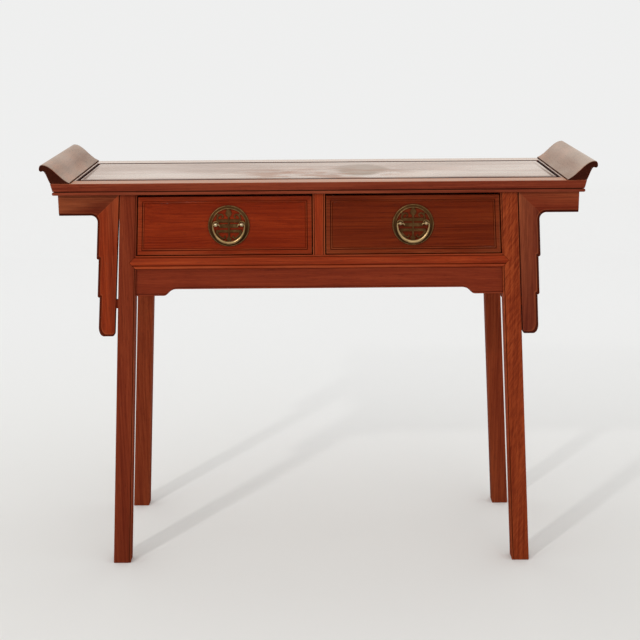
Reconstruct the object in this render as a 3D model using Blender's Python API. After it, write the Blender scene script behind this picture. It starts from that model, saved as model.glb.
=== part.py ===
"""Sideboard with a flanged top, splayed legs, hanging brackets and two drawers.

Metres, +Z up, the front faces -Y, the origin lies on the floor under the middle of the top.
"""

import math

import bmesh
import bpy
from mathutils import Matrix, Vector
from mathutils.geometry import interpolate_bezier

# Top frame
TOP_LENGTH = 1.088
TOP_DEPTH = 0.381
TOP_HEIGHT = 0.830
TOP_THICKNESS = 0.0245
TOP_RAIL_WIDTH = 0.046
FASCIA_HEIGHT = 0.0165
FASCIA_SLANT = 0.0035
FASCIA_GROOVE = 0.0018
FASCIA_GROOVE_HEIGHT = 0.0012
PANEL_THICKNESS = 0.012
PANEL_REVEAL = 0.0050
TONGUE_LENGTH = 0.008
TONGUE_THICKNESS = 0.004
TONGUE_DEPTH = 0.0045
BATTEN_WIDTH = 0.040
BATTEN_SPACING = 0.360

# Flanges at the ends of the top
FLANGE_SEAT = 0.0400
FLANGE_REACH = 0.0210
FLANGE_RISE = 0.0385
FLANGE_CREST = 0.0060
FLANGE_LIP = 0.0092
FLANGE_UNDERCUT = 0.0070
FLANGE_TOE = 0.0012
FLANGE_LIP_STEP = 0.0040
FLANGE_LIP_ROUND = 0.0028
FLANGE_HOOK = 0.0010
SWEEP_LEAVE = (0.40, 0.25)
SWEEP_ARRIVE = (0.64, 1.00)
CREST_LEAVE = (0.60, 0.00)
CREST_ARRIVE = (1.00, 0.40)
HOLLOW_LEAVE = (0.40, 0.02)
HOLLOW_ARRIVE = (0.60, 0.58)

# Legs, measured at the underside of the top and at the floor
LEG_INSET = 0.1384
LEG_SETBACK = 0.0120
LEG_SPREAD = 0.0464
LEG_FORE_SPREAD = 0.0063
LEG_WIDTH_TOP = 0.0355
LEG_WIDTH_FOOT = 0.0371
LEG_DEPTH_TOP = 0.0330
LEG_DEPTH_FOOT = 0.0345
LEG_ARRIS = 0.0020
LEG_TENON_WIDTH = 0.0145
LEG_TENON_LENGTH = 0.012
BEAD_RADIUS = 0.0014
BEAD_GROOVE = 0.0011

# Rail, divider and apron of the front
OPENING_HEIGHT = 0.1275
RAIL_HEIGHT = 0.028
RAIL_DEPTH = 0.030
RAIL_BEAD_LOW = 0.0030
RAIL_SHOULDER = 0.007
RAIL_TENON_HEIGHT = 0.014
RAIL_TENON_THICKNESS = 0.009
RAIL_TENON_LENGTH = 0.014
DIVIDER_WIDTH = 0.025
DIVIDER_DEPTH = 0.028
APRON_HEIGHT = 0.0432
APRON_EAR = 0.0140
APRON_EAR_LENGTH = 0.0577
APRON_CURVE = 0.0290
APRON_RECESS = 0.0060
APRON_THICKNESS = 0.012
APRON_BEAD = 0.0030
APRON_BEAD_RISE = 0.0010
APRON_CURVE_LEAVE = (0.64, 0.00)
APRON_CURVE_ARRIVE = (0.61, 1.00)

# Back and sides
BOARD_THICKNESS = 0.008
BOARD_RECESS = 0.007
PLAIN_RAIL_DEPTH = 0.024
PLAIN_RAIL_RECESS = 0.003
ARRIS_EASE = 0.0005

# Runners
RUNNER_THICKNESS = 0.014
RUNNER_LIP = 0.010
RUNNER_LEDGE = 0.016
SLIDE_CLEARANCE = 0.0010

# Hanging brackets
ARM_LENGTH = 0.1260
ARM_HEIGHT = 0.0430
BRACKET_RECESS = 0.0010
BRACKET_THICKNESS = 0.018
DROP_WIDTH = 0.0439
DROP_STEP = 0.0043
DROP_UPPER = 0.1350
DROP_MIDDLE = 0.0806
DROP_LOWER = 0.0830
DROP_GAP_LEFT = 0.0027
DROP_GAP_RIGHT = 0.0016
DROP_LEAN_LEFT = 0.0034
DROP_LEAN_RIGHT = 0.0004
DROP_CORNER_OUT = 0.0115
DROP_CORNER_RISE = 0.0200
DROP_CORNER_IN = 0.0050
DROP_CORNER_LEAVE = (0.55, 0.00)
DROP_CORNER_ARRIVE = (1.00, 0.45)
BRACKET_FILLET = 0.0145
BRACKET_MARGIN = 0.0050
BRACKET_SINK = 0.0024
BRACKET_HOLLOW = 0.0017
PEG_RISE = 0.0690
PEG_HEIGHT = 0.0185
PEG_THICKNESS = 0.0080
PEG_SOCKET = 0.0090

# Drawers
DRAWER_SIDE_GAP = 0.0022
DRAWER_HEAD_GAP = 0.0055
DRAWER_FOOT_GAP = 0.0015
DRAWER_RECESS = 0.0020
DRAWER_FRONT = 0.018
DRAWER_WALL = 0.010
DRAWER_WALL_DROP = 0.014
DRAWER_BACK_DROP = 0.008
DRAWER_BACK_ROOM = 0.030
DRAWER_BOX_INSET = 0.0020
DRAWER_BOTTOM = 0.006
DRAWER_GROOVE_DEPTH = 0.005
DRAWER_GROOVE_RISE = 0.006
DRAWER_LINE_INSET = 0.0085
DRAWER_LINE_WIDTH = 0.0010
DRAWER_LINE_DEPTH = 0.0010
DRAWER_LINE_GROOVE = 0.0008
DRAWER_ARRIS = 0.0006

# Pulls
PLATE_RADIUS = 0.0427
PLATE_RIM_WIDTH = 0.0078
PLATE_RIM_HEIGHT = 0.0032
PLATE_WEB = 0.0018
PLATE_STEM = 0.0034
PLATE_BAR = 0.0050
PLATE_BAR_RISE = 0.0102
PLATE_BAR_PITCH = 0.0108
PLATE_EYE = 0.0060
PLATE_EYE_TURN = 330
PLATE_EYE_STEPS = 11
PLATE_CREST_GAP = 0.0040
PLATE_CREST_START = 12
PLATE_CREST_END = 42
PLATE_SIDE_GAP = 0.0045
PLATE_SIDE_START = 50
PLATE_SIDE_END = 72
PLATE_BOWL_END = 170
PULL_SHIFT_LEFT = 0.0085
POST_SPACING = 0.0530
POST_RISE = 0.0034
POST_REACH = 0.0085
POST_STEM = 0.0020
POST_HEAD = 0.0042
POST_DEPTH = 0.0120
POST_EYE = 0.0022
BAIL_PIN = 0.0017
BAIL_BELLY = 0.0032
BAIL_TUCK = 0.0010
BAIL_DROP = 0.0380
BAIL_BEND = 0.0030
BAIL_END = 0.0030

# Gap between seated pieces, and how finely curves are divided
SEAT = 0.0003
ARC_STEPS = 4
CURVE_STEPS = 10
TURN_STEPS = 20
RIM_STEPS = 40
BAIL_STEPS = 14
BAIL_RESOLUTION = 2
SMOOTH_ANGLE = math.radians(32)
FLAT_ANGLE = math.radians(1)
WELD = 0.000001

# Levels and half sizes that the pieces share
UNDERSIDE = TOP_HEIGHT - TOP_THICKNESS
RAIL_TOP = UNDERSIDE - OPENING_HEIGHT
RAIL_BASE = RAIL_TOP - RAIL_HEIGHT
RAIL_MIDDLE = (RAIL_TOP + RAIL_BASE) / 2
APRON_BASE = RAIL_BASE - APRON_HEIGHT
EAR_BASE = APRON_BASE - APRON_EAR
HALF_LENGTH = TOP_LENGTH / 2
HALF_DEPTH = TOP_DEPTH / 2
ARM_BASE = UNDERSIDE - ARM_HEIGHT
DROP_BASE = UNDERSIDE - DROP_UPPER - DROP_MIDDLE - DROP_LOWER
DRAWER_FACE = -(HALF_DEPTH - LEG_SETBACK) + DRAWER_RECESS
DRAWER_LOW = RAIL_TOP + DRAWER_FOOT_GAP
DRAWER_HIGH = UNDERSIDE - DRAWER_HEAD_GAP
PULL_LEVEL = (DRAWER_LOW + DRAWER_HIGH) / 2


def blend(start, end, share):
    """Value between start and end."""
    return start + (end - start) * share


def span(z):
    """Half distance between the outer faces of the legs at a height."""
    return HALF_LENGTH - LEG_INSET + LEG_SPREAD * (UNDERSIDE - z) / UNDERSIDE


def reach(z):
    """Half distance between the outer faces of the front and the back legs at a height."""
    return HALF_DEPTH - LEG_SETBACK + LEG_FORE_SPREAD * (UNDERSIDE - z) / UNDERSIDE


def leg_width(z):
    """Width of a leg at a height."""
    return blend(LEG_WIDTH_FOOT, LEG_WIDTH_TOP, z / UNDERSIDE)


def leg_depth(z):
    """Depth of a leg at a height."""
    return blend(LEG_DEPTH_FOOT, LEG_DEPTH_TOP, z / UNDERSIDE)


def inner(z):
    """Half distance between the facing sides of the left and right legs at a height."""
    return span(z) - leg_width(z)


def behind(z):
    """Half distance between the facing sides of the front and back legs at a height."""
    return reach(z) - leg_depth(z)


RAIL_FACE = -reach(RAIL_MIDDLE)
RAIL_REAR = RAIL_FACE + RAIL_DEPTH
BACK_FACE = reach(UNDERSIDE) - BOARD_RECESS - BOARD_THICKNESS
DRAWER_REAR = BACK_FACE - DRAWER_BACK_ROOM


# Materials
def finish(name, colour, roughness, metallic):
    """Principled material of one finish."""
    material = bpy.data.materials.new(name)
    material.use_nodes = True
    shader = material.node_tree.nodes["Principled BSDF"]
    shader.inputs["Base Color"].default_value = (*colour, 1.0)
    shader.inputs["Roughness"].default_value = roughness
    shader.inputs["Metallic"].default_value = metallic
    material.diffuse_color = (*colour, 1.0)
    return material


# Scene
for leftover in list(bpy.data.objects):
    bpy.data.objects.remove(leftover, do_unlink=True)

FRAME_WOOD = finish("frame_wood", (0.165, 0.040, 0.020), 0.32, 0.0)
TOP_WOOD = finish("top_wood", (0.175, 0.048, 0.026), 0.28, 0.0)
FRONT_WOOD = finish("drawer_front_wood", (0.230, 0.042, 0.016), 0.32, 0.0)
INNER_WOOD = finish("inner_wood", (0.330, 0.190, 0.095), 0.60, 0.0)
BRASS = finish("antique_brass", (0.300, 0.205, 0.090), 0.34, 1.0)


def pivot(name, place, parent=None):
    """Empty that carries the pieces of one body."""
    empty = bpy.data.objects.new(name, None)
    bpy.context.collection.objects.link(empty)
    empty.parent = parent
    empty.location = Vector(place) - world_place(parent)
    return empty


def world_place(holder):
    """World position of an empty, from its own and its parents' locations."""
    place = Vector((0.0, 0.0, 0.0))
    while holder is not None:
        place = place + holder.location
        holder = holder.parent
    return place


def attach(item, parent, origin):
    """Put an object's origin at a world point under its parent."""
    item.data.transform(Matrix.Translation(-Vector(origin)))
    item.parent = parent
    item.location = Vector(origin) - world_place(parent)


def piece(name, solid, material, parent, origin=None):
    """Turn a bmesh in world coordinates into a named object with its own origin."""
    bmesh.ops.recalc_face_normals(solid, faces=solid.faces)
    mesh = bpy.data.meshes.new(name)
    solid.to_mesh(mesh)
    solid.free()
    mesh.shade_smooth()
    mesh.set_sharp_from_angle(angle=SMOOTH_ANGLE)
    mesh.materials.append(material)
    item = bpy.data.objects.new(name, mesh)
    bpy.context.collection.objects.link(item)
    if origin is None:
        corners = [Vector(corner) for corner in item.bound_box]
        origin = sum(corners, Vector()) / len(corners)
    attach(item, parent, origin)
    return item


def tool(name, solid):
    """Hidden body for a Boolean."""
    bmesh.ops.recalc_face_normals(solid, faces=solid.faces)
    mesh = bpy.data.meshes.new(name)
    solid.to_mesh(mesh)
    solid.free()
    item = bpy.data.objects.new(name, mesh)
    bpy.context.collection.objects.link(item)
    item.hide_render = True
    item.display_type = "WIRE"
    return item


def combine(item, other, operation):
    """Add a Boolean with a hidden body."""
    modifier = item.modifiers.new(other.name, "BOOLEAN")
    modifier.operation = operation
    modifier.solver = "EXACT"
    modifier.object = other


def ease(item):
    """Soften the arrises of a plain board."""
    modifier = item.modifiers.new("eased_arris", "BEVEL")
    modifier.width = ARRIS_EASE
    modifier.segments = 1
    modifier.limit_method = "ANGLE"
    modifier.angle_limit = SMOOTH_ANGLE


# Outlines and skins
def skin(rings):
    """Closed body through rings of equally many points, capped at both ends."""
    solid = bmesh.new()
    loops = []
    for ring in rings:
        loops.append([solid.verts.new(point) for point in ring])
    for lower, upper in zip(loops, loops[1:]):
        for index in range(len(lower)):
            following = (index + 1) % len(lower)
            solid.faces.new((lower[index], lower[following], upper[following], upper[index]))
    solid.faces.new(loops[0])
    solid.faces.new(loops[-1])
    return solid


def box(low, high):
    """Plain block between two corners."""
    solid = bmesh.new()
    bmesh.ops.create_cube(solid, size=1.0)
    size = Vector(high) - Vector(low)
    middle = (Vector(high) + Vector(low)) / 2
    bmesh.ops.scale(solid, vec=size, verts=solid.verts)
    bmesh.ops.translate(solid, vec=middle, verts=solid.verts)
    return solid


def arc(centre, radius, start, end, steps=ARC_STEPS):
    """Points along a circular arc, angles in degrees."""
    points = []
    for step in range(steps + 1):
        angle = math.radians(blend(start, end, step / steps))
        points.append((centre[0] + radius * math.cos(angle), centre[1] + radius * math.sin(angle)))
    return points


def bezier(start, leave, arrive, end, steps=CURVE_STEPS):
    """Points along a cubic curve in a plane."""
    knots = [Vector((x, z, 0.0)) for x, z in (start, leave, arrive, end)]
    return [(point.x, point.y) for point in interpolate_bezier(*knots, steps + 1)]


def swung(start, end, leave, arrive, steps=CURVE_STEPS):
    """Points along a cubic curve whose handles lie at shares of the box between its ends."""
    handles = []
    for share_x, share_z in (leave, arrive):
        handles.append((blend(start[0], end[0], share_x), blend(start[1], end[1], share_z)))
    return bezier(start, handles[0], handles[1], end, steps)


def inset(outline, distances):
    """Move each edge of a counter-clockwise outline inwards by its own distance."""
    count = len(outline)
    normals = []
    for index in range(count):
        along = Vector(outline[(index + 1) % count]) - Vector(outline[index])
        along.normalize()
        normals.append(Vector((-along.y, along.x)))
    moved = []
    for index in range(count):
        first = normals[index - 1]
        second = normals[index]
        near = distances[index - 1]
        far = distances[index]
        point = Vector(outline[index])
        if near == far:
            middle = (first + second).normalized()
            moved.append(tuple(point + middle * (near / middle.dot(first))))
        else:
            turn = first.x * second.y - first.y * second.x
            shift_x = (near * second.y - far * first.y) / turn
            shift_y = (far * first.x - near * second.x) / turn
            moved.append((point.x + shift_x, point.y + shift_y))
    return moved


def upright(outline, y, side=1):
    """Ring of a front outline (x, z) at one depth, mirrored for the left side."""
    return [(side * x, y, z) for x, z in outline]


def moulded_bead(radius, groove):
    """Half-round bead at an edge and the groove beside it, as (across, depth) points."""
    points = [(x, radius - rise) for x, rise in arc((radius, 0.0), radius, 180, 0)]
    points.append((2 * radius + groove, 0.0))
    return points


# Bodies
FRAME = pivot("frame", (0.0, 0.0, 0.0))
SIDES = {"left": -1, "right": 1}
FACES = {"front": -1, "back": 1}


# Legs
def leg_outline(width, depth):
    """Section of a leg: beaded inner edge and rounded arrises, from the inner face and the front."""
    outline = moulded_bead(BEAD_RADIUS, BEAD_GROOVE)
    outline += arc((width - LEG_ARRIS, LEG_ARRIS), LEG_ARRIS, -90, 0)
    outline += arc((width - LEG_ARRIS, depth - LEG_ARRIS), LEG_ARRIS, 0, 90)
    outline += arc((LEG_ARRIS, depth - LEG_ARRIS), LEG_ARRIS, 90, 180)
    return outline


def leg_ring(z, side, face, share=1.0, level=None):
    """Section of a leg at a height, shrunk about its middle by a share for a tenon."""
    width = leg_width(z)
    depth = leg_depth(z)
    ring = []
    for across, deep in leg_outline(width, depth):
        x = inner(z) + blend(width / 2, across, share)
        y = reach(z) - blend(depth / 2, deep, share)
        ring.append((side * x, face * y, z if level is None else level))
    return ring


def rail_housing(side):
    """Pointed recess in the leg for the shoulder of the front rail."""
    high = RAIL_TOP + SEAT
    low = RAIL_BASE - SEAT
    point = inner(RAIL_MIDDLE) + RAIL_HEIGHT / 2 + 2 * SEAT
    mouth = point - (high - low)
    outline = [
        (mouth, low),
        (inner(low), low),
        (point, RAIL_MIDDLE),
        (inner(high), high),
        (mouth, high),
    ]
    front = RAIL_FACE - LEG_DEPTH_TOP
    rear = RAIL_FACE + RAIL_SHOULDER + SEAT
    return skin([upright(outline, front, side), upright(outline, rear, side)])


def rail_tenon(side, grow, root):
    """Tenon of the front rail, grown all round for its mortise."""
    middle = RAIL_FACE + (RAIL_SHOULDER + RAIL_DEPTH) / 2
    tip = inner(RAIL_MIDDLE) + RAIL_TENON_LENGTH + grow
    half_height = RAIL_TENON_HEIGHT / 2 + grow
    half_thickness = RAIL_TENON_THICKNESS / 2 + grow
    low = (side * (tip if side < 0 else root), middle - half_thickness, RAIL_MIDDLE - half_height)
    high = (side * (root if side < 0 else tip), middle + half_thickness, RAIL_MIDDLE + half_height)
    return box(low, high)


def peg_block(side, face, grow):
    """Flat peg between a drop and its leg, grown all round for its sockets."""
    middle = DROP_BASE + PEG_RISE
    face_y = reach(UNDERSIDE) - BRACKET_RECESS - BRACKET_THICKNESS / 2
    near = span(middle) - PEG_SOCKET - grow
    far = span(middle) + lean_out(middle, side) + drop_gap(side) + PEG_SOCKET + grow
    ends = sorted((side * near, side * far))
    half_height = PEG_HEIGHT / 2 + grow
    half_thickness = PEG_THICKNESS / 2 + grow
    low = (ends[0], face * face_y - half_thickness, middle - half_height)
    high = (ends[1], face * face_y + half_thickness, middle + half_height)
    return box(low, high)


def drop_gap(side):
    """Gap between a leg and the drop beside it, at the head of the drop."""
    return SEAT + (DROP_GAP_LEFT if side < 0 else DROP_GAP_RIGHT)


def lean_out(z, side):
    """How far a drop leans away from its leg at a height, most at the foot of the drop."""
    foot_lean = DROP_LEAN_LEFT if side < 0 else DROP_LEAN_RIGHT
    return foot_lean * (UNDERSIDE - z) / (UNDERSIDE - DROP_BASE)


def build_legs():
    """Four splayed and tapered legs with a tenon on top and their sockets."""
    for face_name, face in FACES.items():
        for side_name, side in SIDES.items():
            head = UNDERSIDE - SEAT
            tip = UNDERSIDE + LEG_TENON_LENGTH
            share = LEG_TENON_WIDTH / LEG_WIDTH_TOP
            rings = [
                leg_ring(0.0, side, face),
                leg_ring(head, side, face),
                leg_ring(head, side, face, share),
                leg_ring(head, side, face, share, tip),
            ]
            name = f"{face_name}_{side_name}"
            foot = (side * span(0.0), face * reach(0.0), 0.0)
            leg = piece(f"leg_{name}", skin(rings), FRAME_WOOD, FRAME, foot)
            if face < 0:
                combine(leg, tool(f"cut_shoulder_{name}", rail_housing(side)), "DIFFERENCE")
                mortise = rail_tenon(side, SEAT, inner(RAIL_TOP) - RAIL_TENON_LENGTH)
                combine(leg, tool(f"cut_tenon_{name}", mortise), "DIFFERENCE")
            combine(leg, tool(f"cut_peg_leg_{name}", peg_block(side, face, SEAT)), "DIFFERENCE")


# Top
def top_profile():
    """Section of a top rail as (distance in from the upper arris, height) points."""
    foot = TOP_HEIGHT - FASCIA_HEIGHT
    groove_foot = foot - FASCIA_GROOVE_HEIGHT
    bead = (groove_foot - UNDERSIDE) / 2
    profile = [(0.0, TOP_HEIGHT), (FASCIA_SLANT, foot), (FASCIA_SLANT + FASCIA_GROOVE, foot)]
    profile.append((FASCIA_SLANT + FASCIA_GROOVE, groove_foot))
    centre = (FASCIA_SLANT + bead - FASCIA_GROOVE_HEIGHT, UNDERSIDE + bead)
    profile += arc(centre, bead, 90, 270)
    high = TOP_HEIGHT - TONGUE_DEPTH + SEAT
    low = TOP_HEIGHT - TONGUE_DEPTH - TONGUE_THICKNESS - SEAT
    deep = TOP_RAIL_WIDTH - TONGUE_LENGTH - SEAT
    profile += [(TOP_RAIL_WIDTH, UNDERSIDE), (TOP_RAIL_WIDTH, low), (deep, low), (deep, high)]
    profile += [(TOP_RAIL_WIDTH, high), (TOP_RAIL_WIDTH, TOP_HEIGHT)]
    return profile


def leg_mortise(side, face):
    """Mortise in a long top rail for the tenon of a leg."""
    head = UNDERSIDE - SEAT
    ring = leg_ring(head, side, face, LEG_TENON_WIDTH / LEG_WIDTH_TOP)
    xs = [point[0] for point in ring]
    ys = [point[1] for point in ring]
    low = (min(xs) - SEAT, min(ys) - SEAT, UNDERSIDE - LEG_TENON_LENGTH)
    high = (max(xs) + SEAT, max(ys) + SEAT, UNDERSIDE + LEG_TENON_LENGTH + SEAT)
    return box(low, high)


def build_top():
    """Mitred frame, floating panel and battens."""
    profile = top_profile()
    for face_name, face in FACES.items():
        rings = []
        for side in SIDES.values():
            ends = [side * (HALF_LENGTH - in_by - SEAT) for in_by, z in profile]
            rings.append([(x, face * (HALF_DEPTH - in_by), z) for x, (in_by, z) in zip(ends, profile)])
        rail = piece(f"top_rail_{face_name}", skin(rings), TOP_WOOD, FRAME)
        for side_name, side in SIDES.items():
            cutter = tool(f"cut_mortise_{face_name}_{side_name}", leg_mortise(side, face))
            combine(rail, cutter, "DIFFERENCE")
    for side_name, side in SIDES.items():
        rings = []
        for face in FACES.values():
            ends = [face * (HALF_DEPTH - in_by - SEAT) for in_by, z in profile]
            rings.append([(side * (HALF_LENGTH - in_by), y, z) for y, (in_by, z) in zip(ends, profile)])
        piece(f"top_end_{side_name}", skin(rings), TOP_WOOD, FRAME)
    piece("top_panel", panel_solid(), TOP_WOOD, FRAME)
    for side_name, side in SIDES.items():
        near = side * BATTEN_SPACING / 2 - BATTEN_WIDTH / 2
        end = HALF_DEPTH - TOP_RAIL_WIDTH - SEAT
        crown = TOP_HEIGHT - PANEL_THICKNESS - SEAT
        batten = box((near, -end, UNDERSIDE), (near + BATTEN_WIDTH, end, crown))
        ease(piece(f"top_batten_{side_name}", batten, INNER_WOOD, FRAME))


def panel_solid():
    """Panel with a tongue all round, one rectangle for each level."""
    field_x = HALF_LENGTH - TOP_RAIL_WIDTH - PANEL_REVEAL
    field_y = HALF_DEPTH - TOP_RAIL_WIDTH - PANEL_REVEAL
    tongue = PANEL_REVEAL + TONGUE_LENGTH - SEAT
    tongue_high = TOP_HEIGHT - TONGUE_DEPTH
    tongue_low = tongue_high - TONGUE_THICKNESS
    rings = []
    levels = [(TOP_HEIGHT - PANEL_THICKNESS, 0.0), (tongue_low, 0.0), (tongue_low, tongue)]
    levels += [(tongue_high, tongue), (tongue_high, 0.0), (TOP_HEIGHT, 0.0)]
    for z, out in levels:
        x = field_x + out
        y = field_y + out
        rings.append([(-x, -y, z), (x, -y, z), (x, y, z), (-x, y, z)])
    return skin(rings)


# Flanges
def flange_outline():
    """Section of a flange: swept inner face, rolled crest, hooked lip and hollow outer face."""
    base = TOP_HEIGHT + SEAT
    crest = base + FLANGE_RISE
    root = HALF_LENGTH - FLANGE_SEAT
    tip = HALF_LENGTH + FLANGE_REACH
    brow = tip - FLANGE_CREST
    lip = crest - FLANGE_LIP
    fall = lip - FLANGE_LIP_STEP
    neck = tip - FLANGE_UNDERCUT
    toe = base + FLANGE_TOE
    outline = [(root, base), (root, toe)]
    outline += swung((root, toe), (brow, crest), SWEEP_LEAVE, SWEEP_ARRIVE)[1:]
    outline += swung((brow, crest), (tip, lip), CREST_LEAVE, CREST_ARRIVE, ARC_STEPS)[1:]
    hook = fall + FLANGE_HOOK
    outline += [(tip - FLANGE_LIP_ROUND, fall), (neck, hook)]
    outline += swung((neck, hook), (HALF_LENGTH - SEAT, base), HOLLOW_LEAVE, HOLLOW_ARRIVE)[1:]
    return outline


def build_flanges():
    """Upturned flange on each end of the top."""
    outline = flange_outline()
    for side_name, side in SIDES.items():
        rings = [upright(outline, -HALF_DEPTH, side), upright(outline, HALF_DEPTH, side)]
        piece(f"flange_{side_name}", skin(rings), TOP_WOOD, FRAME)


# Front
def rail_profile():
    """Moulded section of the front rail's shoulder layer as (y, z) points, bottom to top."""
    rear = RAIL_FACE + RAIL_SHOULDER
    points = [(rear, RAIL_BASE)]
    low_bead = arc((RAIL_FACE + RAIL_BEAD_LOW, RAIL_BASE + RAIL_BEAD_LOW), RAIL_BEAD_LOW, 270, 90)
    points += low_bead
    points.append((RAIL_FACE, RAIL_BASE + 2 * RAIL_BEAD_LOW + BEAD_GROOVE))
    points.append((RAIL_FACE, RAIL_MIDDLE))
    points.append((RAIL_FACE, RAIL_TOP - 2 * BEAD_RADIUS - BEAD_GROOVE))
    points += arc((RAIL_FACE + BEAD_RADIUS, RAIL_TOP - BEAD_RADIUS), BEAD_RADIUS, 270, 90)
    points += [(rear, RAIL_TOP), (rear, RAIL_MIDDLE)]
    return points


def rail_end(z):
    """Half length of the shoulder layer at a height: a point at mid height."""
    return inner(z) - SEAT + RAIL_HEIGHT / 2 - abs(z - RAIL_MIDDLE)


def build_front_rail():
    """Rail under the drawers with pointed shoulders let into the legs and a tenon behind each."""
    profile = rail_profile()
    rings = []
    for side in (-1, 1):
        rings.append([(side * rail_end(z), y, z) for y, z in profile])
    solid = skin(rings)
    solid.verts.ensure_lookup_table()
    for face in [face for face in solid.faces if len(face.verts) == len(profile)]:
        apex = [corner for corner in face.verts if abs(corner.co.z - RAIL_MIDDLE) < WELD]
        bmesh.utils.face_split(face, apex[0], apex[1])
    rail = piece("front_rail", solid, FRAME_WOOD, FRAME)
    lap = RAIL_FACE + RAIL_SHOULDER / 2
    high = RAIL_TOP - SEAT
    low = RAIL_BASE + SEAT
    rings = []
    for z in (low, high):
        x = inner(z) - SEAT
        rings.append([(-x, lap, z), (x, lap, z), (x, RAIL_REAR, z), (-x, RAIL_REAR, z)])
    combine(rail, tool("join_rail_body", skin(rings)), "UNION")
    for side_name, side in SIDES.items():
        root = inner(RAIL_TOP) - RAIL_TENON_LENGTH
        combine(rail, tool(f"join_rail_tenon_{side_name}", rail_tenon(side, 0.0, root)), "UNION")


def build_divider():
    """Post between the drawers with a bead along each front edge."""
    half = DIVIDER_WIDTH / 2
    face = -reach((RAIL_TOP + UNDERSIDE) / 2)
    bead = moulded_bead(BEAD_RADIUS, BEAD_GROOVE)
    outline = [(across - half, face + deep) for across, deep in bead]
    outline += [(half - across, face + deep) for across, deep in reversed(bead)]
    outline += [(half, face + DIVIDER_DEPTH), (-half, face + DIVIDER_DEPTH)]
    rings = [[(x, y, z) for x, y in outline] for z in (RAIL_TOP + SEAT, UNDERSIDE - SEAT)]
    piece("drawer_divider", skin(rings), FRAME_WOOD, FRAME)


def apron_outline():
    """Front outline of the apron and the number of edges along its shaped foot."""
    head = RAIL_BASE - SEAT
    ear_end = inner(EAR_BASE) - APRON_EAR_LENGTH
    curve_end = ear_end - APRON_CURVE
    right = swung((curve_end, APRON_BASE), (ear_end, EAR_BASE), APRON_CURVE_LEAVE, APRON_CURVE_ARRIVE)
    left = [(-x, z) for x, z in reversed(right)]
    foot = [(-inner(EAR_BASE) + SEAT, EAR_BASE)] + left + right + [(inner(EAR_BASE) - SEAT, EAR_BASE)]
    outline = foot + [(inner(head) - SEAT, head), (-inner(head) + SEAT, head)]
    return outline, len(foot) - 1


def build_apron():
    """Apron with small ears at the legs and a raised bead along its foot."""
    outline, foot_edges = apron_outline()
    face = RAIL_FACE + APRON_RECESS
    rest = len(outline) - foot_edges
    bead = inset(outline, [APRON_BEAD] * foot_edges + [0.0] * rest)
    quirk = inset(outline, [APRON_BEAD + APRON_BEAD_RISE] * foot_edges + [0.0] * rest)
    rings = [
        upright(outline, face + APRON_THICKNESS),
        upright(outline, face - APRON_BEAD_RISE),
        upright(bead, face - APRON_BEAD_RISE),
        upright(quirk, face),
    ]
    piece("front_apron", skin(rings), FRAME_WOOD, FRAME)


# Back and sides
def build_back():
    """Rail and panel that close the drawer case at the back."""
    rings = []
    for z in (RAIL_BASE, RAIL_TOP):
        x = inner(z) - SEAT
        outer = reach(z) - PLAIN_RAIL_RECESS
        rear = outer - PLAIN_RAIL_DEPTH
        rings.append([(-x, outer, z), (x, outer, z), (x, rear, z), (-x, rear, z)])
    ease(piece("back_rail", skin(rings), FRAME_WOOD, FRAME))
    rings = []
    for z in (RAIL_TOP + SEAT, UNDERSIDE - SEAT):
        x = inner(z) - SEAT
        outer = BACK_FACE + BOARD_THICKNESS
        rings.append([(-x, outer, z), (x, outer, z), (x, BACK_FACE, z), (-x, BACK_FACE, z)])
    ease(piece("back_panel", skin(rings), FRAME_WOOD, FRAME))


def side_board(name, side, low, high, recess, thickness):
    """Board between a front and a back leg that leans with them."""
    rings = []
    for z in (low, high):
        outer = span(z) - recess
        y = behind(z) - SEAT
        ring = [(outer, -y, z), (outer, y, z), (outer - thickness, y, z), (outer - thickness, -y, z)]
        rings.append([(side * x, depth, level) for x, depth, level in ring])
    ease(piece(name, skin(rings), FRAME_WOOD, FRAME))


def build_sides():
    """Rail and panel between the legs at each end."""
    for side_name, side in SIDES.items():
        side_board(f"side_rail_{side_name}", side, RAIL_BASE, RAIL_TOP, PLAIN_RAIL_RECESS, PLAIN_RAIL_DEPTH)
        low = RAIL_TOP + SEAT
        high = UNDERSIDE - SEAT
        side_board(f"side_panel_{side_name}", side, low, high, BOARD_RECESS, BOARD_THICKNESS)


# Runners
def box_near():
    """Inner side of a drawer box, from the middle of the sideboard."""
    return DIVIDER_WIDTH / 2 + DRAWER_SIDE_GAP + DRAWER_BOX_INSET


def box_far():
    """Outer side of a drawer box, from the middle of the sideboard."""
    return inner(UNDERSIDE) - DRAWER_SIDE_GAP - DRAWER_BOX_INSET


def build_runners():
    """Lipped runners at the ends and a runner with a centre guide between the drawers."""
    front = RAIL_REAR + SEAT
    rear = reach(RAIL_TOP) - PLAIN_RAIL_RECESS - PLAIN_RAIL_DEPTH - SEAT
    base = RAIL_TOP - RUNNER_THICKNESS
    lip = RAIL_TOP + RUNNER_LIP
    stop = box_far() + SLIDE_CLEARANCE
    ledge = box_far() - RUNNER_LEDGE
    wall = min(inner(lip) - SEAT, span(RAIL_TOP) - PLAIN_RAIL_RECESS - PLAIN_RAIL_DEPTH - SEAT)
    outline = [(ledge, base), (wall, base), (wall, lip), (stop, lip), (stop, RAIL_TOP), (ledge, RAIL_TOP)]
    for side_name, side in SIDES.items():
        solid = skin([upright(outline, front, side), upright(outline, rear, side)])
        piece(f"runner_{side_name}", solid, INNER_WOOD, FRAME)
    foot = box_near() + RUNNER_LEDGE
    guide = box_near() - SLIDE_CLEARANCE
    half = [(foot, base), (foot, RAIL_TOP), (guide, RAIL_TOP), (guide, lip)]
    outline = half + [(-x, z) for x, z in reversed(half)]
    piece("runner_centre", skin([upright(outline, front), upright(outline, rear)]), INNER_WOOD, FRAME)


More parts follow.
